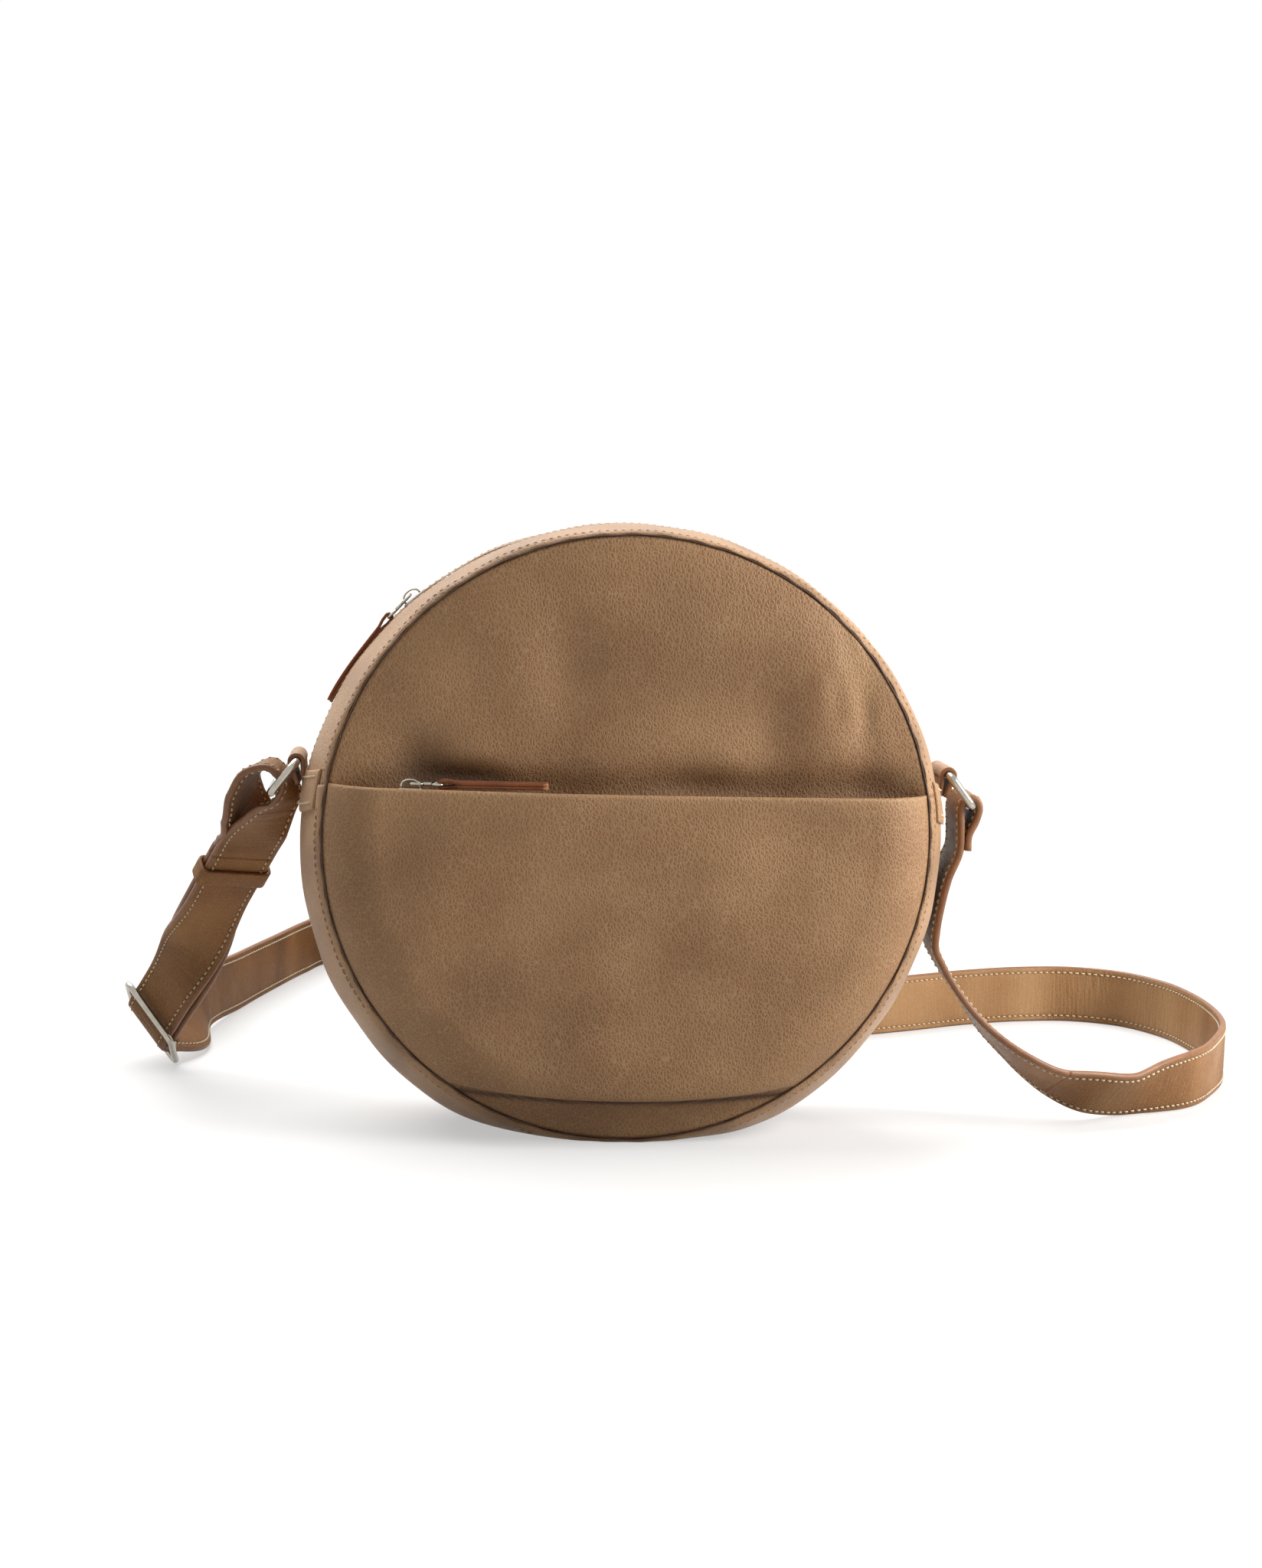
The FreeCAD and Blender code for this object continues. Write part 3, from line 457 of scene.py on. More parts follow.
def gussetPoints(angle, y, lift=0.0):
    # circle at each depth with the seam edges curled in and slightly uneven; what would go below the floor is
    # folded up into a sole, z to half of (z + root(z squared + round squared)), lowered to rest on the floor
    radius, height = arch(y)
    toSeam = np.clip((np.abs(y) - half + gusset["curl"]) / gusset["curl"], 0, 1)
    radius = radius - gusset["curlDrop"] * (1 - np.sqrt(1 - 0.98 * toSeam ** 2))
    pucker = np.sin(angle * gusset["puckerTurns"] + y * 0.1) * toSeam * gusset["pucker"]
    uneven = ripple(angle * bag["crestRadius"], y + 0 * angle, 5, 7, 24, 70) * gusset["wave"] * (1 - toSeam)
    soleRound = gusset["soleRound"] * (1 - (y / half) ** 2) + gusset["soleLeast"]
    deepest = height - radius
    radius = radius + pucker + uneven + lift
    z = height + radius * np.cos(angle)
    rest = 0.5 * (deepest + np.sqrt(deepest ** 2 + soleRound ** 2)) - np.maximum(deepest, 0)
    z = 0.5 * (z + np.sqrt(z ** 2 + soleRound ** 2)) - rest * smooth(gusset["soleReach"], 0, z)
    return np.stack([radius * np.sin(angle), y + 0 * angle, np.maximum(z, 0)], -1)


def radial(angle):
    return np.stack([np.sin(angle), 0 * angle, np.cos(angle)], -1)


def gussetPiece(name, fromAngle, toAngle, low, high, rows, cols, foldAt=None):
    even = np.linspace(0, 1, cols)
    # rows lie closer together near the curled edges
    depths = low + (high - low) * (even - gusset["rowDraw"] * np.sin(2 * math.pi * even))
    angle, y = np.meshgrid(np.radians(np.linspace(fromAngle, toAngle, rows)), depths, indexing="ij")
    points = gussetPoints(angle, y)
    toSeam = np.clip((np.abs(y) - half + gusset["edgeBand"]) / gusset["edgeBand"], 0, 1)
    tone = 0.12 * ripple(angle * bag["crestRadius"], y, 11, 6, 20, 60) - 0.15 * toSeam
    if foldAt is not None:
        toZip = np.clip((foldAt + gusset["zipCurl"] - np.abs(y)) / gusset["zipCurl"], 0, 1)
        points = points - radial(angle) * (gusset["zipDrop"] * toZip ** 2)[..., None]
    shape, tones = shell(points, bag["gussetWall"], radial(angle), tone)
    dressed(name, shape, gussetLitLeather, "body_leather", tone=tones)


side = bag["junctionAngle"]
gussetPiece("lower_gusset", side, 360 - side, -half, half, 300, 44)
gussetPiece("front_zip_gusset", -side, side, -half, -bag["zipEdge"], 200, 30, bag["zipEdge"])
gussetPiece("rear_zip_gusset", -side, side, bag["zipEdge"], half, 200, 30, bag["zipEdge"])
print("gussets made")

# a dent or a painted shade is its depth, its centre and its spread in x and z; a painted shade of negative
# depth is painted light
panel = {"frontCrown": 3.0, "backCrown": 5.0, "bulge": 6.0, "lipSink": 3.0, "rimRoll": 1.8, "rimDrop": 0.35,
         "frontDents": ((4.5, (-90, 160), (13, 10)), (4.0, (-70, 153), (16, 6)), (3.4, (98, 154), (22, 8)),
                        (2.6, (28, 152), (22, 7)), (2.4, (-28, 196), (13, 30)), (2.6, (58, 176), (13, 24)),
                        (2.2, (98, 186), (6, 26)), (-1.4, (80, 192), (12, 32)), (-1.2, (-58, 210), (18, 22))),
         # painted shading: shade in the dents, along the lip and at the top middle, and a painted sheen, of
         # negative depth, at the upper right
         "frontPaintedShading": ((0.3, (-88, 158), (16, 11)), (0.6, (-74, 152), (20, 6)), (0.22, (28, 150), (30, 6)),
                         (0.24, (98, 152), (26, 7)), (-0.2, (92, 205), (20, 32)),
                         (0.14, (20, 212), (70, 36))),
         "backDents": ((2.0, (-35, 150), (45, 30)), (1.6, (60, 95), (30, 40)))}


def panelGrid(count):
    # square grid eased on to the disc, so that there is no pole: each side times root(1 - other squared / 2)
    a, b = np.meshgrid(np.linspace(-1, 1, count), np.linspace(-1, 1, count), indexing="ij")
    rim = bag["seamRadius"] - 0.1
    x, up = rim * a * np.sqrt(1 - b ** 2 / 2), rim * b * np.sqrt(1 - a ** 2 / 2)
    radius = np.hypot(x, up) / bag["seamRadius"]
    rolledIn = panel["rimDrop"] * smooth(1 - panel["rimRoll"] / bag["seamRadius"], 1, radius) ** 2
    return x, up + bag["seamHeight"], radius, 1 - radius ** 6, rolledIn


def frontPanel():
    # shallow crown, swollen near the top and drawn in above the pocket's lip, with dents and wrinkles
    x, z, radius, inside, rolledIn = panelGrid(180)
    swell = panel["frontCrown"] * (1 - radius ** 2) + panel["bulge"] * smooth(174, 222, z) * inside
    swell = swell - panel["lipSink"] * np.exp(-((z - 148) / 9) ** 2) * inside
    swell = dented(swell, x, z, panel["frontDents"], inside)
    folds = ripple(x * 1.6, z * 0.5, 27, 6, 9, 22) * hill(x, z, (92, 200), (17, 34))
    swell = swell + 0.3 * folds + 0.5 * ripple(x, z, 3, 9, 26, 90) * inside - rolledIn
    # painted shade along the top of the pocket's lip, then the listed painted shades and painted sheen
    tone = 0.05 * ripple(x, z, 21, 7, 25, 90) - 0.15 * np.exp(-((z - 149) / 5) ** 2) * inside
    tone = dented(tone, x, z, panel["frontPaintedShading"])
    # painted shadow line where the panel goes under the pocket's fold
    under = z - pocket["fold"] + 2.9 - pocket["foldRise"] * (x / pocket["foldHalf"]) ** 2
    tone = tone - 0.95 * np.exp(-(under / 1.1) ** 2) - 0.08 * smooth(6, -4, under)
    shape, tones = shell(np.stack([x, -half - swell, z], -1), bag["panelWall"], -yWay, tone)
    dressed("front_panel", shape, bodyLeather, "body_leather", tone=tones)


def backPanel():
    x, z, radius, inside, rolledIn = panelGrid(130)
    swell = dented(panel["backCrown"] * (1 - radius ** 2), x, z, panel["backDents"], inside)
    swell = swell + 0.6 * ripple(x, z, 8, 9, 30, 100) * inside
    tone = 0.06 * ripple(x, z, 31, 7, 25, 90)
    points = np.stack([x, half + swell - rolledIn, z], -1)
    shape, tones = shell(points, bag["panelWall"], yWay, tone)
    dressed("back_panel", shape, bodyLeather, "body_leather", tone=tones)


pocket = {"crown": 16.0, "faceRadius": 100.0, "faceDrop": 3.0, "lip": 148.6, "lipSag": 0.7, "fold": 20.0,
          "foldRise": 5.0, "foldHalf": 72.0, "foldRound": 1.6, "hem": 9.0, "wall": 1.2, "hemWall": 1.5,
          "lipRound": 1.5, "dents": ((1.8, (-92, 128), (16, 22)), (1.4, (78, 132), (24, 12)),
                                     (1.0, (-20, 60), (60, 30)))}


def pocketSwell(x, z):
    # shallow arc over the face, then a tighter arc that turns down to the seam, with soft dents
    radius = np.hypot(x, z - bag["seamHeight"])
    face = pocket["crown"] - pocket["faceDrop"] * (radius / pocket["faceRadius"]) ** 2
    across = bag["seamRadius"] - pocket["faceRadius"]
    down = pocket["crown"] - pocket["faceDrop"]
    turn = (across ** 2 + down ** 2) / (2 * down)
    past = np.clip(radius - pocket["faceRadius"], 0, across)
    swell = np.where(radius < pocket["faceRadius"], face, down - turn + np.sqrt(turn ** 2 - past ** 2))
    inside = 1 - np.clip(radius / bag["seamRadius"], 0, 1) ** 8
    swell = dented(swell, x, z, pocket["dents"], inside)
    return swell + 0.5 * ripple(x, z, 14, 9, 30, 100) * inside


def pocketPanel():
    # rows run from the front panel out along the fold, round it, up the face and over the lip
    share = np.linspace(-1, 1, 190)
    share = (share + 0.05 * np.sin(math.pi * share))[None]
    level = np.concatenate([np.linspace(0, 0.03, 7)[:-1], np.linspace(0.03, 0.97, 112),
                            np.linspace(0.97, 1, 7)[1:]])[:, None]
    z = pocket["fold"] + (pocket["lip"] - pocket["fold"]) * level + 0 * share
    for _ in range(4):  # width and height depend on each other along the curved fold and lip
        x = share * np.sqrt(np.maximum((bag["seamRadius"] - 0.15) ** 2 - (z - bag["seamHeight"]) ** 2, 1))
        foldZ = pocket["fold"] + pocket["foldRise"] * (x / pocket["foldHalf"]) ** 2
        lipZ = pocket["lip"] - pocket["lipSag"] * (1 - (x / bag["seamRadius"]) ** 2)
        z = foldZ + (lipZ - foldZ) * level
    swell = np.maximum(pocketSwell(x, z), 0.2)
    below = lipZ - z
    toFold = np.clip(1 - (z - foldZ) / pocket["foldRound"], 0, 1)
    toLip = np.clip(1 - below / pocket["lipRound"], 0, 1)
    swell = swell - pocket["foldRound"] * 0.8 * (1 - np.sqrt(1 - 0.96 * toFold ** 2)) * smooth(0, 6, swell)
    swell = swell - 1.3 * (1 - np.sqrt(1 - 0.96 * toLip ** 2)) * smooth(0, 4, swell)
    swell = swell + 0.2 * smooth(pocket["hem"] + 1.5, pocket["hem"] - 1, below) * smooth(0, 6, swell)
    face = np.stack([x, -half - swell, z], -1)
    # paler towards the lip: painted light on its upward strip; darker at the fold and in the upper left dent:
    # painted shade
    tone = (0.05 * ripple(x, z, 41, 7, 25, 90) + 0.34 * np.exp(-below / 2.2) + 0.10 * np.exp(-below / 14)
            - 0.12 * np.exp(-(z - foldZ) / 1.2) - 0.16 * hill(x, z, (-95, 118), (16, 22)))
    rear = np.maximum(face[0, :, 1], -half - 1.2)
    step = np.linspace(0, 1, 9)[:-1, None]
    under = np.stack([x[:1] + 0 * step, rear + (face[:1, :, 1] - rear) * step, z[:1] + 0 * step], -1)
    points = np.concatenate([under, face])
    # the underside of the fold is darker still: painted shade
    tone = np.concatenate([tone[:1] - 0.2 + 0 * step, tone])
    toHem = smooth(pocket["hem"] + 2, pocket["hem"] - 2, pocket["lip"] - points[..., 2])
    shape, tones = shell(points, pocket["wall"] + pocket["hemWall"] * toHem, -yWay, tone)
    dressed("pocket_panel", shape, bodyLeather, "body_leather", tone=tones)


frontPanel()
backPanel()
pocketPanel()
print("panels made")


seam = {"radius": 0.3, "standOff": 0.2, "overPocket": 0.6, "stitchLift": -0.15, "stitchTurn": 0.35,
        "joinRadius": 0.35}


def seams():
    # painted shadow line along the turned seam, the stitches beside it, and those along the zip
    turn = np.linspace(0, 2 * math.pi, 360, endpoint=False)
    ring = np.linspace(-0.91 * math.pi, 0.91 * math.pi, 900)
    for name, sign in (("front_seam", -1), ("back_seam", 1)):
        radius = bag["seamRadius"] + seam["standOff"] + 0.1 * np.sin(turn * 23) + 0.08 * np.sin(turn * 41 + 1)
        path = radial(turn) * radius[:, None] + np.array([0, sign * half, bag["seamHeight"]])
        if sign < 0:  # further out beside the pocket, over its sewn edge
            path[:, 1] -= seam["overPocket"] * smooth(pocket["lip"] + 1, pocket["lip"] - 3, path[:, 2])
        shape = tube(path, radial(turn), alike(yWay, len(turn)), circleProfile(seam["radius"], 8), True)
        newPiece(name, shape, paintedSeamShadow, slot="body_leather")
        depth = np.full_like(ring, sign * (half - gusset["seamStitchIn"]))
        out = radial(ring) + yWay * (seam["stitchTurn"] * sign)
        path = gussetPoints(ring, depth, seam["stitchLift"])
        stitchRow(name + "_stitch", path, out, seamStitch, tanThread, slot="body_leather")
        top = np.radians(np.linspace(-side + 4, side - 4, 500))
        depth = np.full_like(top, sign * (bag["zipEdge"] + gusset["zipStitchIn"]))
        path = gussetPoints(top, depth, seam["stitchLift"])
        stitchRow(name + "_zip_stitch", path, radial(top), zipStitch, creamThread, slot="body_leather")
    # painted shadow line along the lower gusset's join in the middle of the sole
    depth = np.linspace(-half + 0.5, half - 0.5, 60)
    path = gussetPoints(np.full_like(depth, math.pi), depth)
    shape = tube(path, alike(xWay, 60), alike(zWay, 60), circleProfile(seam["joinRadius"], 6))
    newPiece("sole_join", moved(shape, (0, 0, seam["joinRadius"])), paintedSeamShadow, slot="body_leather")


seams()
print("seams made")

# zips

zipper = {"sink": 1.4, "angle": 73.0, "pitch": 2.4, "rowMiddle": 1.3, "stop": 2.4, "tapeWall": 0.8,
          "tapeDrop": 1.5, "tapeInner": 1.8, "tapeBend": 3.6, "tapeOuter": 12.0, "pocketY": -45.2,
          "pocketZ": 146.1, "pocketSink": 0.7, "pocketHalf": 97.0, "tooth": (1.5, 2.3, 1.9),
          "stopWidth": 4.6, "stopHeight": 2.0}
zipRadius = bag["crestRadius"] - zipper["sink"]
crestAxis = np.array([0, 0, bag["crestHeight"]])


def zipPlace(name, at, length):
    # place and direction at distances along a zip: an arc over the top, or a straight line in the pocket
    if name == "main":
        angle = at / zipRadius - math.radians(zipper["angle"])
        return crestAxis + radial(angle) * zipRadius, np.stack([np.cos(angle), 0 * angle, -np.sin(angle)], -1)
    x = at - length / 2
    level = zipper["pocketZ"] - zipper["pocketSink"]
    return np.stack([x, 0 * x + zipper["pocketY"], 0 * x + level], -1), alike(xWay, len(x))


def zipTeeth():
    # cast teeth, one short rounded block each, the two rows half a pitch apart, with a stop at each end
    tooth = superSolid(zipper["tooth"], 0.45, 6, 8)
    stop = superSolid((zipper["stop"], zipper["stopWidth"], zipper["stopHeight"]), 0.35, 6, 12)
    runs = (("main", 2 * math.radians(zipper["angle"]) * zipRadius), ("pocket", 2 * zipper["pocketHalf"]))
    for name, length in runs:
        count = int(length / zipper["pitch"])
        for row, sign, shift in (("front", -1, 0.25), ("rear", 1, 0.75)):
            at = (np.arange(count) + shift) * zipper["pitch"]
            centre, along = zipPlace(name, at, length)
            shape = repeated(tooth, centre + yWay * (sign * zipper["rowMiddle"]), along, alike(yWay, count))
            dressed(name + "_zip_teeth_" + row, shape, toothMetal, "zip_metal")
        ends = np.array([-zipper["stop"] / 2, count * zipper["pitch"] + zipper["stop"] / 2])
        centre, along = zipPlace(name, ends, length)
        shape = repeated(stop, centre, along, alike(yWay, 2))
        dressed(name + "_zip_stops", shape, toothMetal, "zip_metal")


def zipTapes():
    # thin woven bands: level beside the teeth, then down and under the leather edges
    inner, bend, outer = (zipper[key] for key in ("tapeInner", "tapeBend", "tapeOuter"))
    depths = np.array([inner, 2.6, 3.2, bend, 4.1, 4.6, 6, 9, outer])
    for row, sign in (("front", -1), ("rear", 1)):
        angle, y = np.meshgrid(np.radians(np.linspace(-side + 1, side - 1, 160)), depths, indexing="ij")
        fall = zipper["tapeDrop"] * smooth(bend - 0.4, 4.7, y) + 8.5 * ((y / half) ** 2)
        radius = zipRadius + zipper["tapeWall"] / 2 - fall
        points = crestAxis + radial(angle) * radius[..., None] + (sign * y)[..., None] * yWay
        shape, tones = shell(points, zipper["tapeWall"], radial(angle))
        dressed("main_zip_tape_" + row, shape, zipCloth, "zip_tape")
        x, out = np.meshgrid(np.linspace(-zipper["pocketHalf"], zipper["pocketHalf"], 60),
                             np.linspace(0, 1, 6), indexing="ij")
        z = np.full_like(x, zipper["pocketZ"] - zipper["pocketSink"] + zipper["tapeWall"] / 2)
        near = zipper["pocketY"] + sign * inner
        reach = -half - pocketSwell(x, z) + 1.9 if sign < 0 else np.full_like(x, -half - 1.0)
        points = np.stack([x, near + (reach - near) * out, z], -1)
        shape, tones = shell(points, zipper["tapeWall"], zWay)
        dressed("pocket_zip_tape_" + row, shape, zipCloth, "zip_tape")


zipTeeth()
zipTapes()

slider = {"length": 10.0, "width": 7.0, "plate": 1.0, "plateAt": 1.7, "pinHeight": 3.8, "pullLength": 13.0,
          "archHalf": 3.8, "archFoot": 2.0, "archTop": 5.5, "archWidth": 1.9, "archWall": 0.8, "flange": 0.8,
          "flangeShare": 0.86, "flangeAside": 3.05, "flangeIn": 0.62, "neck": (3.0, 0.9, 3.2), "neckAt": 3.4,
          "mainAngle": -41.5, "pullTilt": 6.0, "tabTilt": 11.4, "pocketX": -90.0, "mainBow": 2.4,
          "pocketBow": 0.0}
# each wire loop of the pull is its width, its start and its length along the pull
puller = {"wire": 0.68, "corner": 1.2, "fork": (3.3, 0.0, 5.0), "eye": (6.1, 9.0, 4.0),
          "stem": (5.4, 2.0, 1.5), "stemAt": 7.0}


def sliderShape():
    # two rounded plates, side flanges, a neck and a bent strip that holds the pull
    shapes = []
    for z in (slider["plateAt"], -slider["plateAt"]):
        plate = superSolid((slider["length"], slider["width"], slider["plate"]), 0.35, 8, 28)
        narrow = 1 - 0.16 * smooth(-1, -5, plate[0][:, 0])  # slimmer at its tail
        slim = plate[0] * np.stack([1 + 0 * narrow, narrow, 1 + 0 * narrow], -1)
        shapes.append(moved((slim, plate[1]), (0, 0, z)))
        for sign in (-1, 1):
            thick = slider["flange"]
            flange = superSolid((slider["length"] * slider["flangeShare"], thick, thick), 0.4, 6, 10)
            shapes.append(moved(flange, (0.3, sign * slider["flangeAside"],
                                         z - math.copysign(slider["flangeIn"], z))))
    shapes.append(moved(superSolid(slider["neck"], 0.3, 6, 10), (slider["neckAt"], 0, 0)))
    turn = np.linspace(math.pi, 0, 24)
    rise = slider["archTop"] - slider["archFoot"]
    path = np.stack([slider["archHalf"] * np.cos(turn), 0 * turn,
                     slider["archFoot"] + rise * np.clip(np.sin(turn), 0, 1) ** 0.7], -1)
    tangent = unit(np.gradient(path, axis=0))
    across = alike(yWay, len(path))
    profile = roundedProfile(slider["archWidth"], slider["archWall"], 0.3, 3)
    shapes.append(tube(path, across, np.cross(tangent, across), profile))
    return joined(shapes)


def pullerShape():
    # wire fork on the slider's bridge, a short stem and an eye for the leather tab
    shapes = []
    turn = np.array([[0, -1, 0], [1, 0, 0], [0, 0, 1]])
    for width, start, length in (puller["fork"], puller["eye"]):
        path, across, up = loopPath(width, length, puller["corner"], 5)
        path = path @ turn + xWay * start
        shapes.append(tube(path, across @ turn, up, circleProfile(puller["wire"], 10), True))
    shapes.append(moved(superSolid(puller["stem"], 0.5, 8, 14), (puller["stemAt"], 0, 0)))
    return joined(shapes)


pullTab = {"length": 43.0, "width": 8.0, "neck": 4.6, "layer": 1.28, "bore": 0.88, "point": 2.0}


def pullTabShape(bow):
    # one strip folded round the eye: out along the top layer, back along the bottom one; the far end is bowed
    # with the fourth power of the distance
    bend = pullTab["bore"] + pullTab["layer"] / 2 - 0.14
    turn = np.linspace(math.pi / 2, 3 * math.pi / 2, 11)
    end = pullTab["length"]
    out = np.concatenate([np.linspace(end, end - 2.4, 6), np.linspace(end - 3, 2.6, 26)])
    settle = pullTab["layer"] / 2 + 0.02 + (bend - pullTab["layer"] / 2) * smooth(6.5, 1.5, out)
    top = np.stack([out, 0 * out, settle], -1)
    fold = np.stack([bend * np.cos(turn), 0 * turn, bend * np.sin(turn)], -1)
    path = np.concatenate([top, fold, top[::-1] * np.array([1, 1, -1])])
    path[:, 2] -= bow * np.clip(path[:, 0] / end, 0, 1) ** 4
    tangent = unit(np.gradient(path, axis=0))
    across = alike(yWay, len(path))
    reach = path[:, 0]
    width = pullTab["neck"] + (pullTab["width"] - pullTab["neck"]) * smooth(2.5, 7.0, reach)
    width = width - 2 * pullTab["point"] * np.clip((reach - end + pullTab["point"]) / pullTab["point"], 0, 1)
    profile = roundedProfile(pullTab["width"], pullTab["layer"], 0.35, 4)
    shape = tube(path, across, np.cross(tangent, across), profile, widths=width / pullTab["width"])
    return shape, np.repeat(0.7 * smooth(end - 1.2, end, reach), len(profile))


def pulls():
    outward = radial(np.array([math.radians(slider["mainAngle"])]))[0]
    along = np.array([outward[2], 0, -outward[0]])
    lean = [-along * math.cos(tilt) - outward * math.sin(tilt)
            for tilt in (math.radians(slider["pullTilt"]), math.radians(slider["tabTilt"]))]
    pocketPlace = np.array([slider["pocketX"], zipper["pocketY"], zipper["pocketZ"]])
    ways = (("main", crestAxis + outward * zipRadius, along, outward, *lean, -slider["mainBow"]),
            ("pocket", pocketPlace, xWay, zWay, xWay, xWay, slider["pocketBow"]))
    for name, origin, travel, out, pull, hang, bow in ways:
        across = np.cross(out, travel)
        pin = origin + out * slider["pinHeight"]
        dressed(name + "_slider", placed(sliderShape(), origin, travel, across), nickel, "nickel", True)
        dressed(name + "_puller", placed(pullerShape(), pin, pull, across), nickel, "nickel", True)
        shape, tone = pullTabShape(bow)
        eye = pin + pull * slider["pullLength"]
        dressed(name + "_pull_tab", placed(shape, eye, hang, across), tabLeather, "pull_leather", True,
                tone=tone)


pulls()
print("zips and pulls made")

# side tabs and rings

ringSet = {"wire": 3.6, "inner": 32.0, "drop": 16.5, "corner": 3.6, "hang": 52.0, "loopAngle": 76.2,
           "loopStand": 5.6, "loopWidth": 27.0, "loopWall": 1.8, "loopBend": 2.75}
sidePatch = {"fromAngle": 77.5, "toAngle": 85.0, "halfWidth": 34.0, "wall": 1.3, "foot": 79.5,
             "stitchRows": (("upper", 78.8), ("lower", 83.6))}
patchStitch = {"pitch": 2.9, "length": 2.0, "width": 0.7}


def loopCentre(sign):
    turn = np.array([math.radians(ringSet["loopAngle"]) * sign])
    return crestAxis + radial(turn)[0] * (bag["crestRadius"] + ringSet["loopStand"])


def ringWay(sign):
    hang = math.radians(ringSet["hang"])
    return np.array([sign * math.cos(hang), 0, -math.sin(hang)])


def farBar(sign):
    return loopCentre(sign) + ringWay(sign) * ringSet["drop"]


def sideTab(name, sign):
    # band across the gusset over the zip's end, its edges eased down on to it
    wall = sidePatch["wall"]
    middle = (sidePatch["fromAngle"] + sidePatch["toAngle"]) / 2
    degrees, y = np.meshgrid(np.linspace(sidePatch["fromAngle"], sidePatch["toAngle"], 22),
                             np.linspace(-sidePatch["halfWidth"], sidePatch["halfWidth"], 60), indexing="ij")
    edge = np.minimum(np.abs(degrees - middle) / (sidePatch["toAngle"] - middle), 1) ** 14
    ends = (np.abs(y) / sidePatch["halfWidth"]) ** 30
    angle = np.radians(degrees) * sign
    points = gussetPoints(angle, y, wall + 0.15 - 0.5 * np.maximum(edge, ends))
    shape, tones = shell(points, wall, radial(angle))
    dressed(name + "_side_patch", shape, gussetLitLeather, "body_leather", tone=tones)
    y = np.linspace(-sidePatch["halfWidth"] + 2, sidePatch["halfWidth"] - 2, 120)
    for row, degrees in sidePatch["stitchRows"]:
        turn = np.full_like(y, math.radians(degrees) * sign)
        path = gussetPoints(turn, y, wall + 0.25)
        stitchRow(name + "_patch_stitch_" + row, path, radial(turn), patchStitch, creamThread,
                  slot="body_leather")
    # strip folded over the ring's bar: up from the patch, round the bar and back down on its outside
    centre = loopCentre(sign)
    foot = gussetPoints(np.array([math.radians(sidePatch["foot"]) * sign]), np.array([0.0]), 1.0)[0]
    outward = radial(np.array([math.radians(ringSet["loopAngle"]) * sign]))[0]
    upward = np.array([-outward[2] * sign, 0, abs(outward[0])])
    turn = np.linspace(-0.15, math.pi * 1.12, 22)[:, None]
    over = centre + ringSet["loopBend"] * (-np.cos(turn) * outward + np.sin(turn) * upward)
    inner = np.linspace(foot - outward * 0.6, over[0], 7)[:-1]
    outer = np.linspace(over[-1], foot + outward * 1.7 - upward * 1.2, 7)[1:]
    path = np.concatenate([inner, over, outer])
    wide = alike(yWay, len(path))
    profile = roundedProfile(ringSet["loopWidth"], ringSet["loopWall"], 0.5, 4)
    shape = tube(path, wide, np.cross(unit(np.gradient(path, axis=0)), wide), profile)
    edges = np.abs((profile + np.roll(profile, -1, 0))[:, 0]) / 2 > ringSet["loopWidth"] / 2 - 0.3
    picks = np.concatenate([np.tile(edges, len(path) - 1), [False, False]])
    dressed(name + "_ring_tab", shape, [gussetLitLeather, brownEdge], "body_leather", picks=picks)


def sideRing(name, sign):
    # round wire bent to a rectangle with round corners
    path, across, up = loopPath(ringSet["inner"] + ringSet["wire"], ringSet["drop"], ringSet["corner"], 10)
    shape = tube(path, across, up, circleProfile(ringSet["wire"] / 2, 20), True)
    dressed(name + "_ring", placed(shape, loopCentre(sign), yWay, ringWay(sign)), nickel, "nickel", True)


for name, sign in (("left", -1), ("right", 1)):
    sideTab(name, sign)
    sideRing(name, sign)
print("rings made")

# strap

strap = {"width": 29.0, "wall": 3.0, "play": 0.4, "layerGap": 0.3, "flap": 19.0, "step": 1.6, "stitchIn": 3.1,
         "edgeRound": 0.9, "stitchDip": 0.22, "nearLift": 0.1, "farLift": 0.06}
strapStitch = {"pitch": 3.2, "length": 2.0, "width": 0.8}
keeper = {"length": 9.0, "wall": 1.6, "play": 0.35, "run": 26.0}
buckle = {"wire": 3.0, "inner": 33.0, "half": 13.0, "corner": 4.0, "bow": 2.4, "endLoop": 1.4, "lean": 34.0,
          "lift": 0.5, "slack": 1.2}
strapTurn = ringSet["wire"] / 2 + strap["play"] + strap["wall"] / 2
layerPitch = strap["wall"] + strap["layerGap"]

# places of the strap, close to the solids: shares of the crest radius on the floor, of the fall from the
# right ring, and of the turn round the left ring; off the floor each place has the direction across the
# strap, and on it the first and last few places lean by the degrees given
dropShares = (((-0.066, 0.008, -0.247), (-0.04, 1.0, 0.02)), ((-0.085, 0.024, -0.341), (-0.05, 1.0, 0.03)),
              ((-0.092, 0.040, -0.428), (-0.03, 1.0, 0.00)), ((-0.087, 0.047, -0.491), (0.03, 1.0, -0.03)),
              ((-0.052, 0.051, -0.562), (0.10, 0.98, -0.10)), ((0.026, 0.045, -0.675), (0.20, 0.96, -0.19)),
              ((0.116, 0.036, -0.788), (0.12, 0.96, -0.26)), ((0.245, 0.007, -0.895), (0.18, 0.86, -0.47)),
              ((0.362, 0.007, -0.963), (0.11, 0.81, -0.58)))
floorShares = ((1.55, 0.017), (1.667, 0.063), (1.789, 0.121), (1.948, 0.235), (2.074, 0.43), (2.172, 0.656),
               (2.21, 0.90), (2.21, 1.13), (2.165, 1.375), (2.045, 1.565), (1.875, 1.64), (1.685, 1.625),
               (1.455, 1.545), (1.215, 1.42), (0.99, 1.315), (0.735, 1.235), (0.425, 1.25), (0.10, 1.425),
               (-0.205, 1.765), (-0.465, 2.19), (-0.675, 2.545), (-0.855, 2.70), (-1.00, 2.595),
               (-1.08, 2.39), (-1.185, 2.05), (-1.30, 1.65), (-1.39, 1.27))
nearLeans, farLeans = (44, 40, 25, 11, 4), (4, 10)
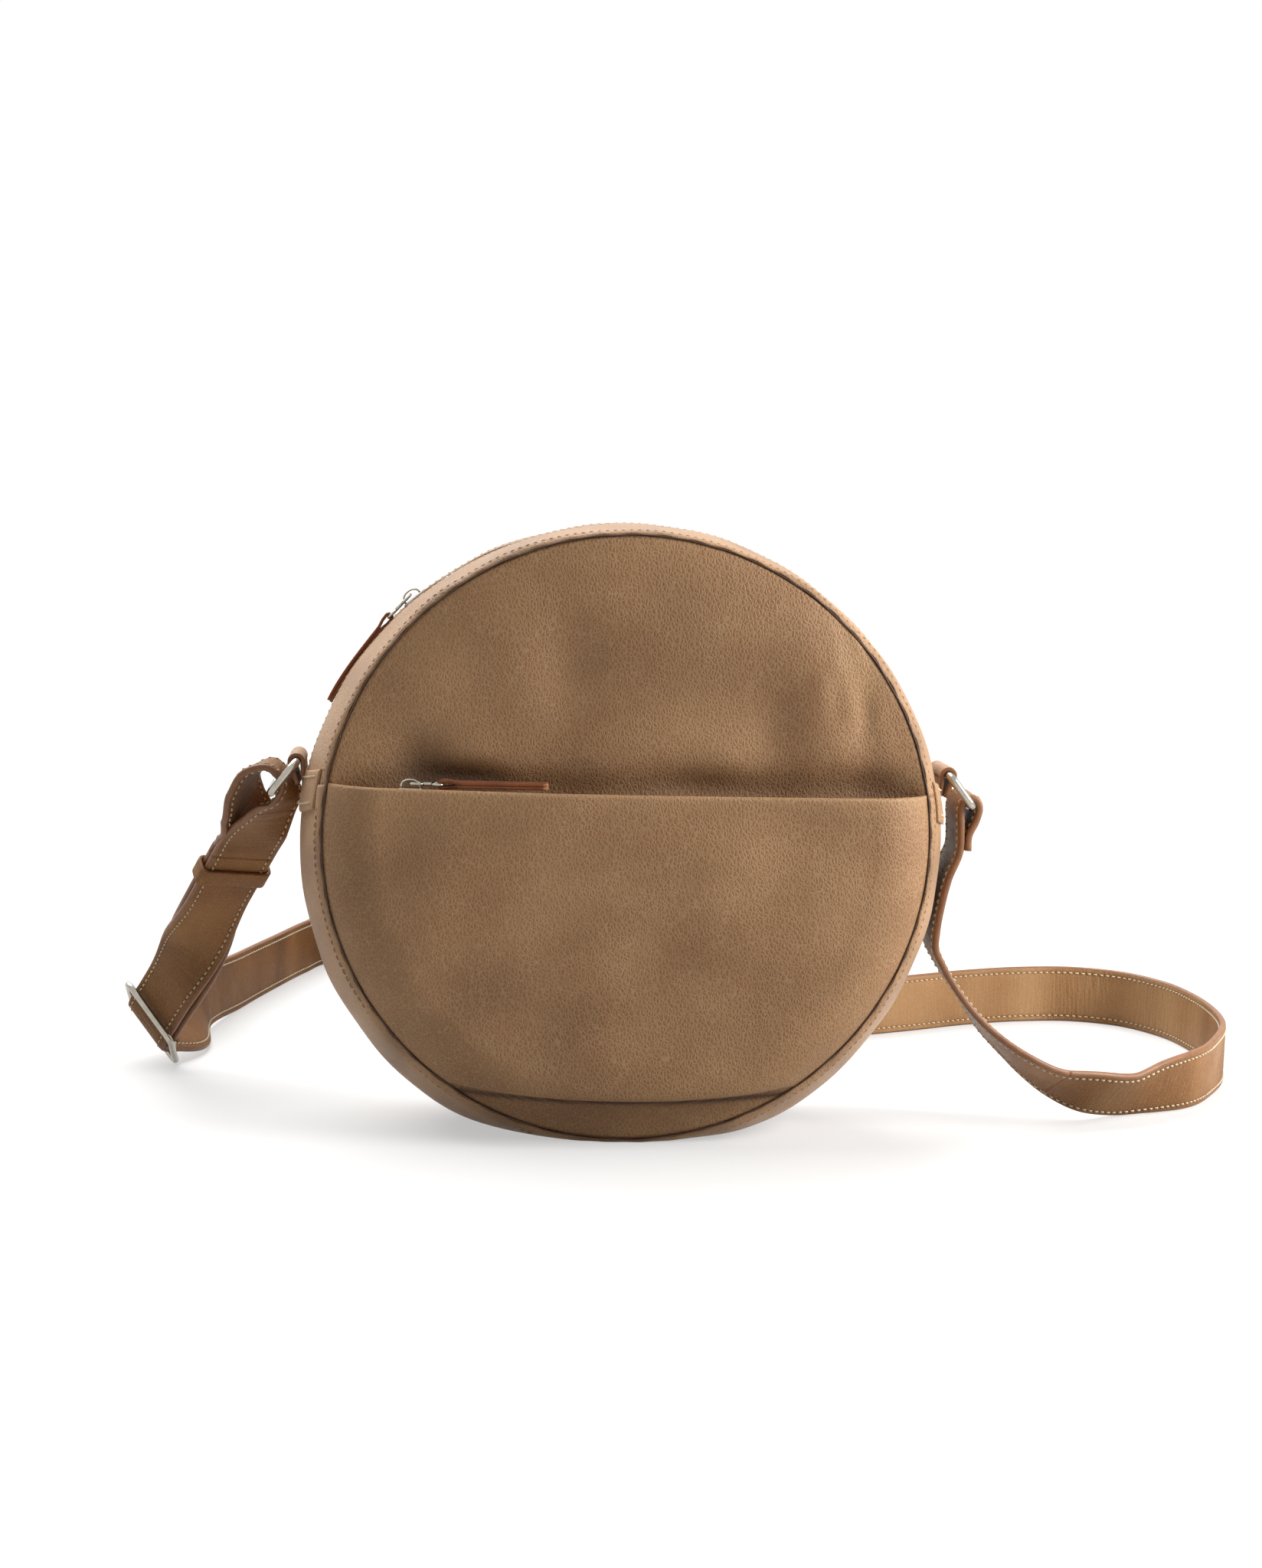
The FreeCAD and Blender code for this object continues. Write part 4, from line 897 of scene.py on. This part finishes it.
ringTurnShares = (((-1.9, 3.7, -5.5), (0.80, 0.58, -0.16)), ((-0.35, 2.0, -3.1), (0.58, 0.80, -0.10)),
                  ((1.25, 0.6, -0.7), (0.26, 0.96, -0.10)), ((1.2, 0.05, 1.3), (0.06, 0.99, 0.0)),
                  ((-0.2, -0.05, 2.75), (0.08, 0.99, 0.0)), ((-2.1, 0.15, 2.3), (0.18, 0.98, 0.0)),
                  ((-3.35, 1.1, 0.4), (0.25, 0.96, 0.0)), ((-3.65, 3.0, -2.2), (0.42, 0.90, -0.05)),
                  ((-3.3, 5.3, -4.9), (0.68, 0.72, -0.1)))
keeperShares, keeperAcross = np.array([-1.228, 0.265, 0.735]), unit(np.array([0.86, 0.44, -0.10]))
buckleShares, buckleAcross = np.array([-1.507, 0.713]), unit(np.array([0.596, -0.471, -0.65]))
buckleApproach = np.array([-0.412, -0.874, 0.256])


def squareTo(direction, axis):
    return unit(direction - axis * np.sum(direction * axis, -1, keepdims=True))


def slopes(values, lengths):
    # rate of change at each stop: the two neighbouring rates weighed by each other's length
    pace = np.diff(values, axis=0) / lengths
    inner = (pace[:-1] * lengths[1:] + pace[1:] * lengths[:-1]) / (lengths[:-1] + lengths[1:])
    return np.concatenate([pace[:1], inner, pace[-1:]])


def chordLengths(places):
    return np.linalg.norm(np.diff(places, axis=0), axis=1)[:, None]


keeperCentre = keeperShares * bag["crestRadius"]
buckleGuess = np.array([*(buckleShares * bag["crestRadius"]), strap["width"] / 2])
buckleAlong = unit(squareTo(buckleApproach, buckleAcross)
                   + squareTo(keeperCentre - buckleGuess, buckleAcross))
buckleOut = np.cross(buckleAcross, buckleAlong)
tilts = np.abs(np.array([buckleAcross[2], buckleAlong[2], buckleOut[2]]))
buckleLow = (tilts @ np.array([(buckle["inner"] + buckle["wire"]) / 2, buckle["half"], buckle["bow"]])
             + buckle["wire"] / 2 + buckle["lift"]
             - buckle["corner"] * (1 - math.sqrt(0.5)) * (tilts[0] + tilts[1]))
buckleMiddle = np.array([buckleGuess[0], buckleGuess[1], buckleLow])
buckleTurn = buckle["wire"] / 2 + buckle["endLoop"] + 2 * strap["layerGap"] + strap["wall"] / 2
buckleLean = math.radians(buckle["lean"])
keeperAlong = squareTo(farBar(-1) - buckleMiddle, keeperAcross)
keeperOut = np.cross(keeperAcross, keeperAlong)


def floorStops():
    # strap on the floor: on edge, or leaning by an angle with its lower corner on the floor
    places = np.array([(x, y, 0) for x, y in floorShares]) * bag["crestRadius"]
    lean = np.zeros(len(places))
    lean[:len(nearLeans)] = np.radians(nearLeans)
    lean[-len(farLeans):] = np.radians(farLeans)
    line = slopes(places, chordLengths(places))
    aside = unit(np.stack([-line[:, 1], line[:, 0], 0 * lean], -1))
    places[:, 2] = np.cos(lean) * strap["width"] / 2 + np.sin(lean) * strap["wall"] / 2
    places[0, 2] += strap["nearLift"] * strap["width"]
    places[-1, 2] += strap["farLift"] * strap["width"]
    across = aside * np.sin(lean)[:, None] - zWay * np.cos(lean)[:, None]
    return list(zip(places, across))


def rightEndStops():
    # sewn end: up outside the right ring's bar, over it and down the inside
    bar, turn, flap = farBar(1), strapTurn, strap["flap"]
    out = layerPitch - turn
    angles = np.radians(np.arange(0, 181, 45))
    places = [(out, -flap), (out + 0.1, -0.68 * flap), (turn * 0.75, -0.3 * flap)]
    places += [(turn * math.cos(a), turn * math.sin(a)) for a in angles]
    places += [(-turn, -flap / 2), (-turn, -flap)]
    return [(bar + np.array([x, 0, z]), yWay) for x, z in places]


def buckleAt(along, out):
    return buckleMiddle + buckleAlong * along + buckleOut * out


def buckleStops(sign):
    startAlong, startOut = buckleTurn * math.sin(buckleLean), buckleTurn * math.cos(buckleLean)
    steps = [share * (buckle["half"] - startAlong) for share in (0, 1, 1.85)]
    return [(buckleAt(sign * (startAlong + step), startOut - step * math.tan(buckleLean)), buckleAcross)
            for step in steps]


def keeperStop(layer, share):
    offset = keeperAlong * (share * keeper["run"] / 2) + keeperOut * (layer * layerPitch / 2)
    return keeperCentre + offset, keeperAcross


def strapRoute():
    # the strap from its sewn right end to its sewn left end, in the stretches that are separate pieces
    bar, fall = farBar(1), farBar(1)[2] - strap["width"] / 2
    drop = [(bar + np.array(place) * fall, np.array(across)) for place, across in dropShares]
    run = floorStops() + buckleStops(-1)[::-1] + [(buckleAt(0, buckleTurn), buckleAcross)]
    run += buckleStops(1) + [keeperStop(1, share) for share in (-1.3, -1, 1)]
    turn = [keeperStop(1, 1.3)]
    turn += [(farBar(-1) + np.array(place) * strapTurn, np.array(across)) for place, across in ringTurnShares]
    turn += [keeperStop(-1, share) for share in (1.3, 1)]
    away = buckleAlong * math.cos(buckleLean) - buckleOut * math.sin(buckleLean)
    last = [away * 1.85 * buckle["half"] - buckleOut * buckle["slack"], away * buckle["half"], away * 2.5]
    rear = [keeperStop(-1, share) for share in (-1, -1.3)]
    rear += [(buckleMiddle + offset, buckleAcross) for offset in last]
    return [rightEndStops() + drop, run, turn, rear]


def strapStations():
    # smooth line through all stops: cubic pieces with the slopes above for the places and for the directions
    # across, cut into short even steps, one list of stations per stretch
    route = strapRoute()
    stops = [stop for stretch in route for stop in stretch]
    places, turns = np.array([stop[0] for stop in stops]), unit(np.array([stop[1] for stop in stops]))
    lengths = chordLengths(places)
    lines, twists = slopes(places, lengths), slopes(turns, lengths)
    runs = []
    for index in range(len(stops) - 1):
        length = lengths[index, 0]
        t = np.linspace(0, 1, max(3, math.ceil(length / strap["step"]) + 1))[:, None]
        shares = (2 * t ** 3 - 3 * t ** 2 + 1, length * (t ** 3 - 2 * t ** 2 + t),
                  3 * t ** 2 - 2 * t ** 3, length * (t ** 3 - t ** 2))
        place, across = [shares[0] * stop[index] + shares[1] * rate[index] + shares[2] * stop[index + 1]
                         + shares[3] * rate[index + 1] for stop, rate in ((places, lines), (turns, twists))]
        tangent = unit((places[index + 1] - places[index]) * (6 * t - 6 * t ** 2)
                       + length * lines[index] * (3 * t ** 2 - 4 * t + 1)
                       + length * lines[index + 1] * (3 * t ** 2 - 2 * t))
        runs.append((place, tangent, squareTo(across, tangent)))
    ends = np.cumsum([len(stretch) for stretch in route]) - 1
    return [[np.concatenate([runs[first][k][:1]] + [run[k][1:] for run in runs[first:last]])
             for k in range(3)] for first, last in zip([0, *ends[:-1]], ends)]


def strapProfile():
    # two sewn layers: soft faces that dip at the stitch lines, and round painted edges
    w, h, edge = strap["width"] / 2, strap["wall"] / 2, strap["edgeRound"]
    groove = w - strap["stitchIn"] + np.linspace(-0.9, 0.9, 7)
    middle = np.linspace(-w + 5.5, w - 5.5, 9)
    across = np.concatenate([[-w + edge], -groove[::-1], middle, groove, [w - edge]])
    dip = strap["stitchDip"] * np.exp(-((np.abs(across) - w + strap["stitchIn"]) / 0.6) ** 2)
    face = h - dip - 0.12 * (np.abs(across) / w) ** 8
    turn = np.linspace(-math.pi / 2, math.pi / 2, 7)[1:-1]
    rightEdge = np.stack([w - edge + edge * np.cos(turn), (h - 0.15) * np.sin(turn)], -1)
    low, top = np.stack([across, -face], -1), np.stack([across[::-1], face[::-1]], -1)
    profile = np.concatenate([low, rightEdge, top, -rightEdge])
    middles = (profile[:, 0] + np.roll(profile[:, 0], -1)) / 2
    return profile, np.abs(middles) > w - edge - 0.05


def strapPiece(name, stations, nodes, ride=True, paintedSheenBetween=None, paintedLightShade=0.0):
    place, tangent, across = stations
    up = np.cross(tangent, across)
    profile, edges = strapProfile()
    points, blocks = tube(place, across, up, profile)
    grid = points.reshape(len(place), -1, 3)
    lift = np.maximum(-grid[..., 2].min(1), 0)[:, None] * zWay  # kept off the floor
    run = np.concatenate([[0], np.cumsum(chordLengths(place)[:, 0])])
    bend = np.sum(np.gradient(tangent, run, axis=0) * up, -1)
    inward = np.clip(bend[:, None] * np.sign(profile[None, :, 1]) * 40, 0, 1)  # inner side of a tight bend
    sewn = np.exp(-((np.abs(profile[None, :, 0]) - strap["width"] / 2 + strap["stitchIn"]) / 0.5) ** 2)
    # the tone given for a stretch is painted light and painted shade; it also varies at random and is darker
    # along the stitch lines
    tone = (paintedLightShade + 0.12 * ripple(run, 0 * run, 17, 6, 18, 80))[:, None] - 0.5 * sewn
    ash = np.zeros_like(tone)
    # painted sheen: a grey veil on the strap's inner face between two heights, standing in for a reflection
    if paintedSheenBetween:
        low, high = paintedSheenBetween
        dull = smooth(low, low + 30, place[:, 2]) * smooth(high, high - 20, place[:, 2])
        ash = 0.8 * dull[:, None] * (profile[None, :, 1] < 0)
    uv = np.stack([np.tile(profile[:, 0], len(place)), np.repeat(run, len(profile))], -1)
    picks = np.concatenate([np.tile(edges, len(place) - 1), [True, True]])
    pieces = [newPiece(name, ((grid + lift[:, None]).reshape(-1, 3), blocks), [strapLeather, brownEdge],
                       nodes=nodes, slot="strap_leather", picks=picks, ride=ride, uv=uv, tone=tone, ash=ash,
                       crease=0.3 + 0.7 * inward)]
    inset = strap["width"] / 2 - strap["stitchIn"]
    for layer in (-1, 1):
        for edge in (-1, 1):
            line = place + across * inset * edge + up * layer * (strap["wall"] / 2 - 0.14) + lift
            label = name + "_stitch_" + ("inner", "outer")[layer > 0] + ("Low", "High")[edge > 0]
            pieces.append(stitchRow(label, line, up * layer, strapStitch, creamThread, slot="strap_leather",
                                    ride=ride))
    return pieces


def slideBuckle():
    # wire frame whose outer bars stand off a lower middle bar
    width = buckle["inner"] + buckle["wire"]
    wire = circleProfile(buckle["wire"] / 2, 18)
    path, across, up = loopPath(width, 2 * buckle["half"], buckle["corner"], 8)
    rim = tube(path + np.array([0, -buckle["half"], buckle["bow"]]), across, up, wire, True)
    s = np.linspace(-width / 2, width / 2, 24)
    lifted = buckle["bow"] * smooth(width / 2 - 3.5, width / 2 - 0.2, np.abs(s))
    bar = tube(np.stack([s, 0 * s, lifted], -1), alike(yWay, 24),
               alike(zWay, 24), wire)
    shape = placed(joined([rim, bar]), buckleMiddle, buckleAcross, buckleAlong)
    dressed("slide_buckle", shape, nickel, "nickel", True)
    # sewn end of the inner strand round the middle bar
    turn = np.linspace(0, 2 * math.pi, 32, endpoint=False)
    radius = buckle["wire"] / 2 + strap["layerGap"] + buckle["endLoop"] / 2
    ring = np.stack([0 * turn, radius * np.cos(turn), radius * np.sin(turn)], -1)
    shape = tube(ring, alike(xWay, 32), unit(ring),
                 roundedProfile(strap["width"], buckle["endLoop"], 0.4, 3), True)
    newPiece("strap_end_roll", placed(shape, buckleMiddle, buckleAcross, buckleAlong), strapLeather,
             slot="strap_leather")


def strapKeeper():
    # flat leather band bent to a sleeve round both layers of the strap
    wide = strap["width"] + 2 * keeper["play"] + keeper["wall"]
    high = 2 * strap["wall"] + strap["layerGap"] + 2 * keeper["play"] + keeper["wall"]
    path, across, up = loopPath(wide, high, 2.2, 7)
    profile = roundedProfile(keeper["wall"], keeper["length"], 0.5, 4)
    points, blocks = tube(path - np.array([0, high / 2, 0]), across, up, profile, True)
    upright = np.stack([points[:, 0], -points[:, 2], points[:, 1]], -1)  # sleeve turned to run along Y
    edges = np.abs((profile + np.roll(profile, -1, 0))[:, 1]) / 2 > keeper["length"] / 2 - 0.3
    shape = placed((upright, blocks), keeperCentre, keeperAcross, keeperAlong)
    dressed("strap_keeper", shape, [strapLeather, brownEdge], "strap_leather", True,
            picks=np.tile(edges, len(path)))


rightDrop, longRun, ringTurn, rearStrand = strapStations()
# painted light makes the far loop paler, and painted shade makes the stretch behind the bag darker
runX, runY = longRun[0][:, 0], longRun[0][:, 1]
runPaintedLightShade = smooth(110, 170, runY) * (0.4 * smooth(60, 200, runX) - 0.45 * smooth(-60, -140, runX))
strapPiece("strap_long_run", longRun,
           ["strap_floor_loop", "strap_rear_run", "strap_left_run", "strap_front_strand"], paintedLightShade=runPaintedLightShade)
strapPiece("strap_rear_strand", rearStrand, ["strap_rear_strand"])
rightPieces = strapPiece("strap_right_drop", rightDrop, ["strap_right_end", "strap_right_drop"], False,
                         (30, farBar(1)[2]))
for piece in rightPieces:
    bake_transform(piece)
for piece in strapPiece("strap_ring_turn", ringTurn, ["strap_ring_turn"], False):
    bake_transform(piece)
slideBuckle()
strapKeeper()
print("strap made")

# floor, light and camera

stage = {"floorHex": "#b2b1af", "floorGlow": 0.48, "floorHalf": 8.0, "ambient": 0.04}
overhead = {"way": (-0.32, 0.40, 0.86), "level": 1.3, "spread": 60.0}
softBox = {"place": (0.65, -0.215, 0.42), "target": (0.0, -0.03, 0.13), "size": (0.35, 0.45), "power": 6.7}


def whiteRays(tree):
    # 1 for what the camera sees directly, in metal or through glass
    rays = tree.nodes.new("ShaderNodeLightPath").outputs
    seen = worked(tree, "MAXIMUM", rays["Is Camera Ray"], rays["Is Glossy Ray"])
    return worked(tree, "MAXIMUM", seen, rays["Is Transmission Ray"])


def studioFloor():
    size = stage["floorHalf"]
    mesh = bpy.data.meshes.new("studioFloor")
    corners = [(-size, -size, 0), (size, -size, 0), (size, size, 0), (-size, size, 0)]
    mesh.from_pydata(corners, [], [(0, 1, 2, 3)])
    floor = bpy.data.objects.new("studioFloor", mesh)
    bpy.context.scene.collection.objects.link(floor)
    # matt paper: its own grey keeps the shadows, and a glow for seen rays brings it up to white
    material, tree, shader = newMaterial("mattPaperFloor", Base_Color=linear(stage["floorHex"]),
                                         Roughness=0.9, Emission_Color=(1, 1, 1, 1))
    glow = worked(tree, "MULTIPLY", whiteRays(tree), stage["floorGlow"])
    tree.links.new(glow, shader.inputs["Emission Strength"])
    mesh.materials.append(material)


def studioWorld():
    # white where it is seen; as a light, a dim even room
    world = bpy.data.worlds.new("studio")
    bpy.context.scene.world = world
    world.use_nodes = True
    tree = world.node_tree
    strength = ranged(tree, whiteRays(tree), 0.0, 1.0, stage["ambient"])
    back = tree.nodes["Background"]
    back.inputs["Color"].default_value = (1, 1, 1, 1)
    tree.links.new(strength, back.inputs["Strength"])


def newLamp(name, kind, way, **settings):
    # lamp whose own Z axis points along way, away from what it lights
    lamp = bpy.data.lights.new(name, kind)
    for key, value in settings.items():
        setattr(lamp, key, value)
    source = bpy.data.objects.new(name, lamp)
    bpy.context.scene.collection.objects.link(source)
    source.rotation_euler = Vector(way).to_track_quat("Z", "Y").to_euler()
    return source


def studioLamps():
    # a wide sun from above and behind, even over the floor; at a level of 1 a surface that faces it shows its
    # own colour
    newLamp("overhead", "SUN", overhead["way"], energy=overhead["level"] * math.pi,
            angle=math.radians(overhead["spread"]))
    # a soft box close by on the right, a little in front
    place, size = np.array(softBox["place"]), softBox["size"]
    box = newLamp("softBox", "AREA", place - np.array(softBox["target"]), energy=softBox["power"],
                  shape="RECTANGLE", size=size[0], size_y=size[1])
    box.location = place


camera = {"place": (-86.3, -1096.6, 274.0), "yaw": 4.68, "pitch": -6.62, "roll": 1.75, "focalPx": 3399.0,
          "imageHeight": 2048.0}


def photoCamera():
    yaw, pitch, roll = (math.radians(camera[key]) for key in ("yaw", "pitch", "roll"))
    ahead = np.array([math.sin(yaw) * math.cos(pitch), math.cos(yaw) * math.cos(pitch), math.sin(pitch)])
    right = np.array([math.cos(yaw), -math.sin(yaw), 0])
    up = np.cross(right, ahead)
    turnedRight = math.cos(roll) * right + math.sin(roll) * up
    turnedUp = math.cos(roll) * up - math.sin(roll) * right
    lens = bpy.data.cameras.new("photoCamera")
    lens.sensor_fit, lens.sensor_height = "VERTICAL", 36.0
    lens.lens = lens.sensor_height * camera["focalPx"] / camera["imageHeight"]
    lens.clip_start, lens.clip_end = 0.01, 50
    eye = bpy.data.objects.new("photoCamera", lens)
    bpy.context.scene.collection.objects.link(eye)
    columns = np.stack([turnedRight, turnedUp, -ahead, np.array(camera["place"]) * mm], -1)
    eye.matrix_world = Matrix([*columns.tolist(), [0, 0, 0, 1]])
    bpy.context.scene.camera = eye


studioFloor()
studioWorld()
studioLamps()
photoCamera()
bpy.context.scene.view_settings.view_transform = "Standard"
print("stage made")
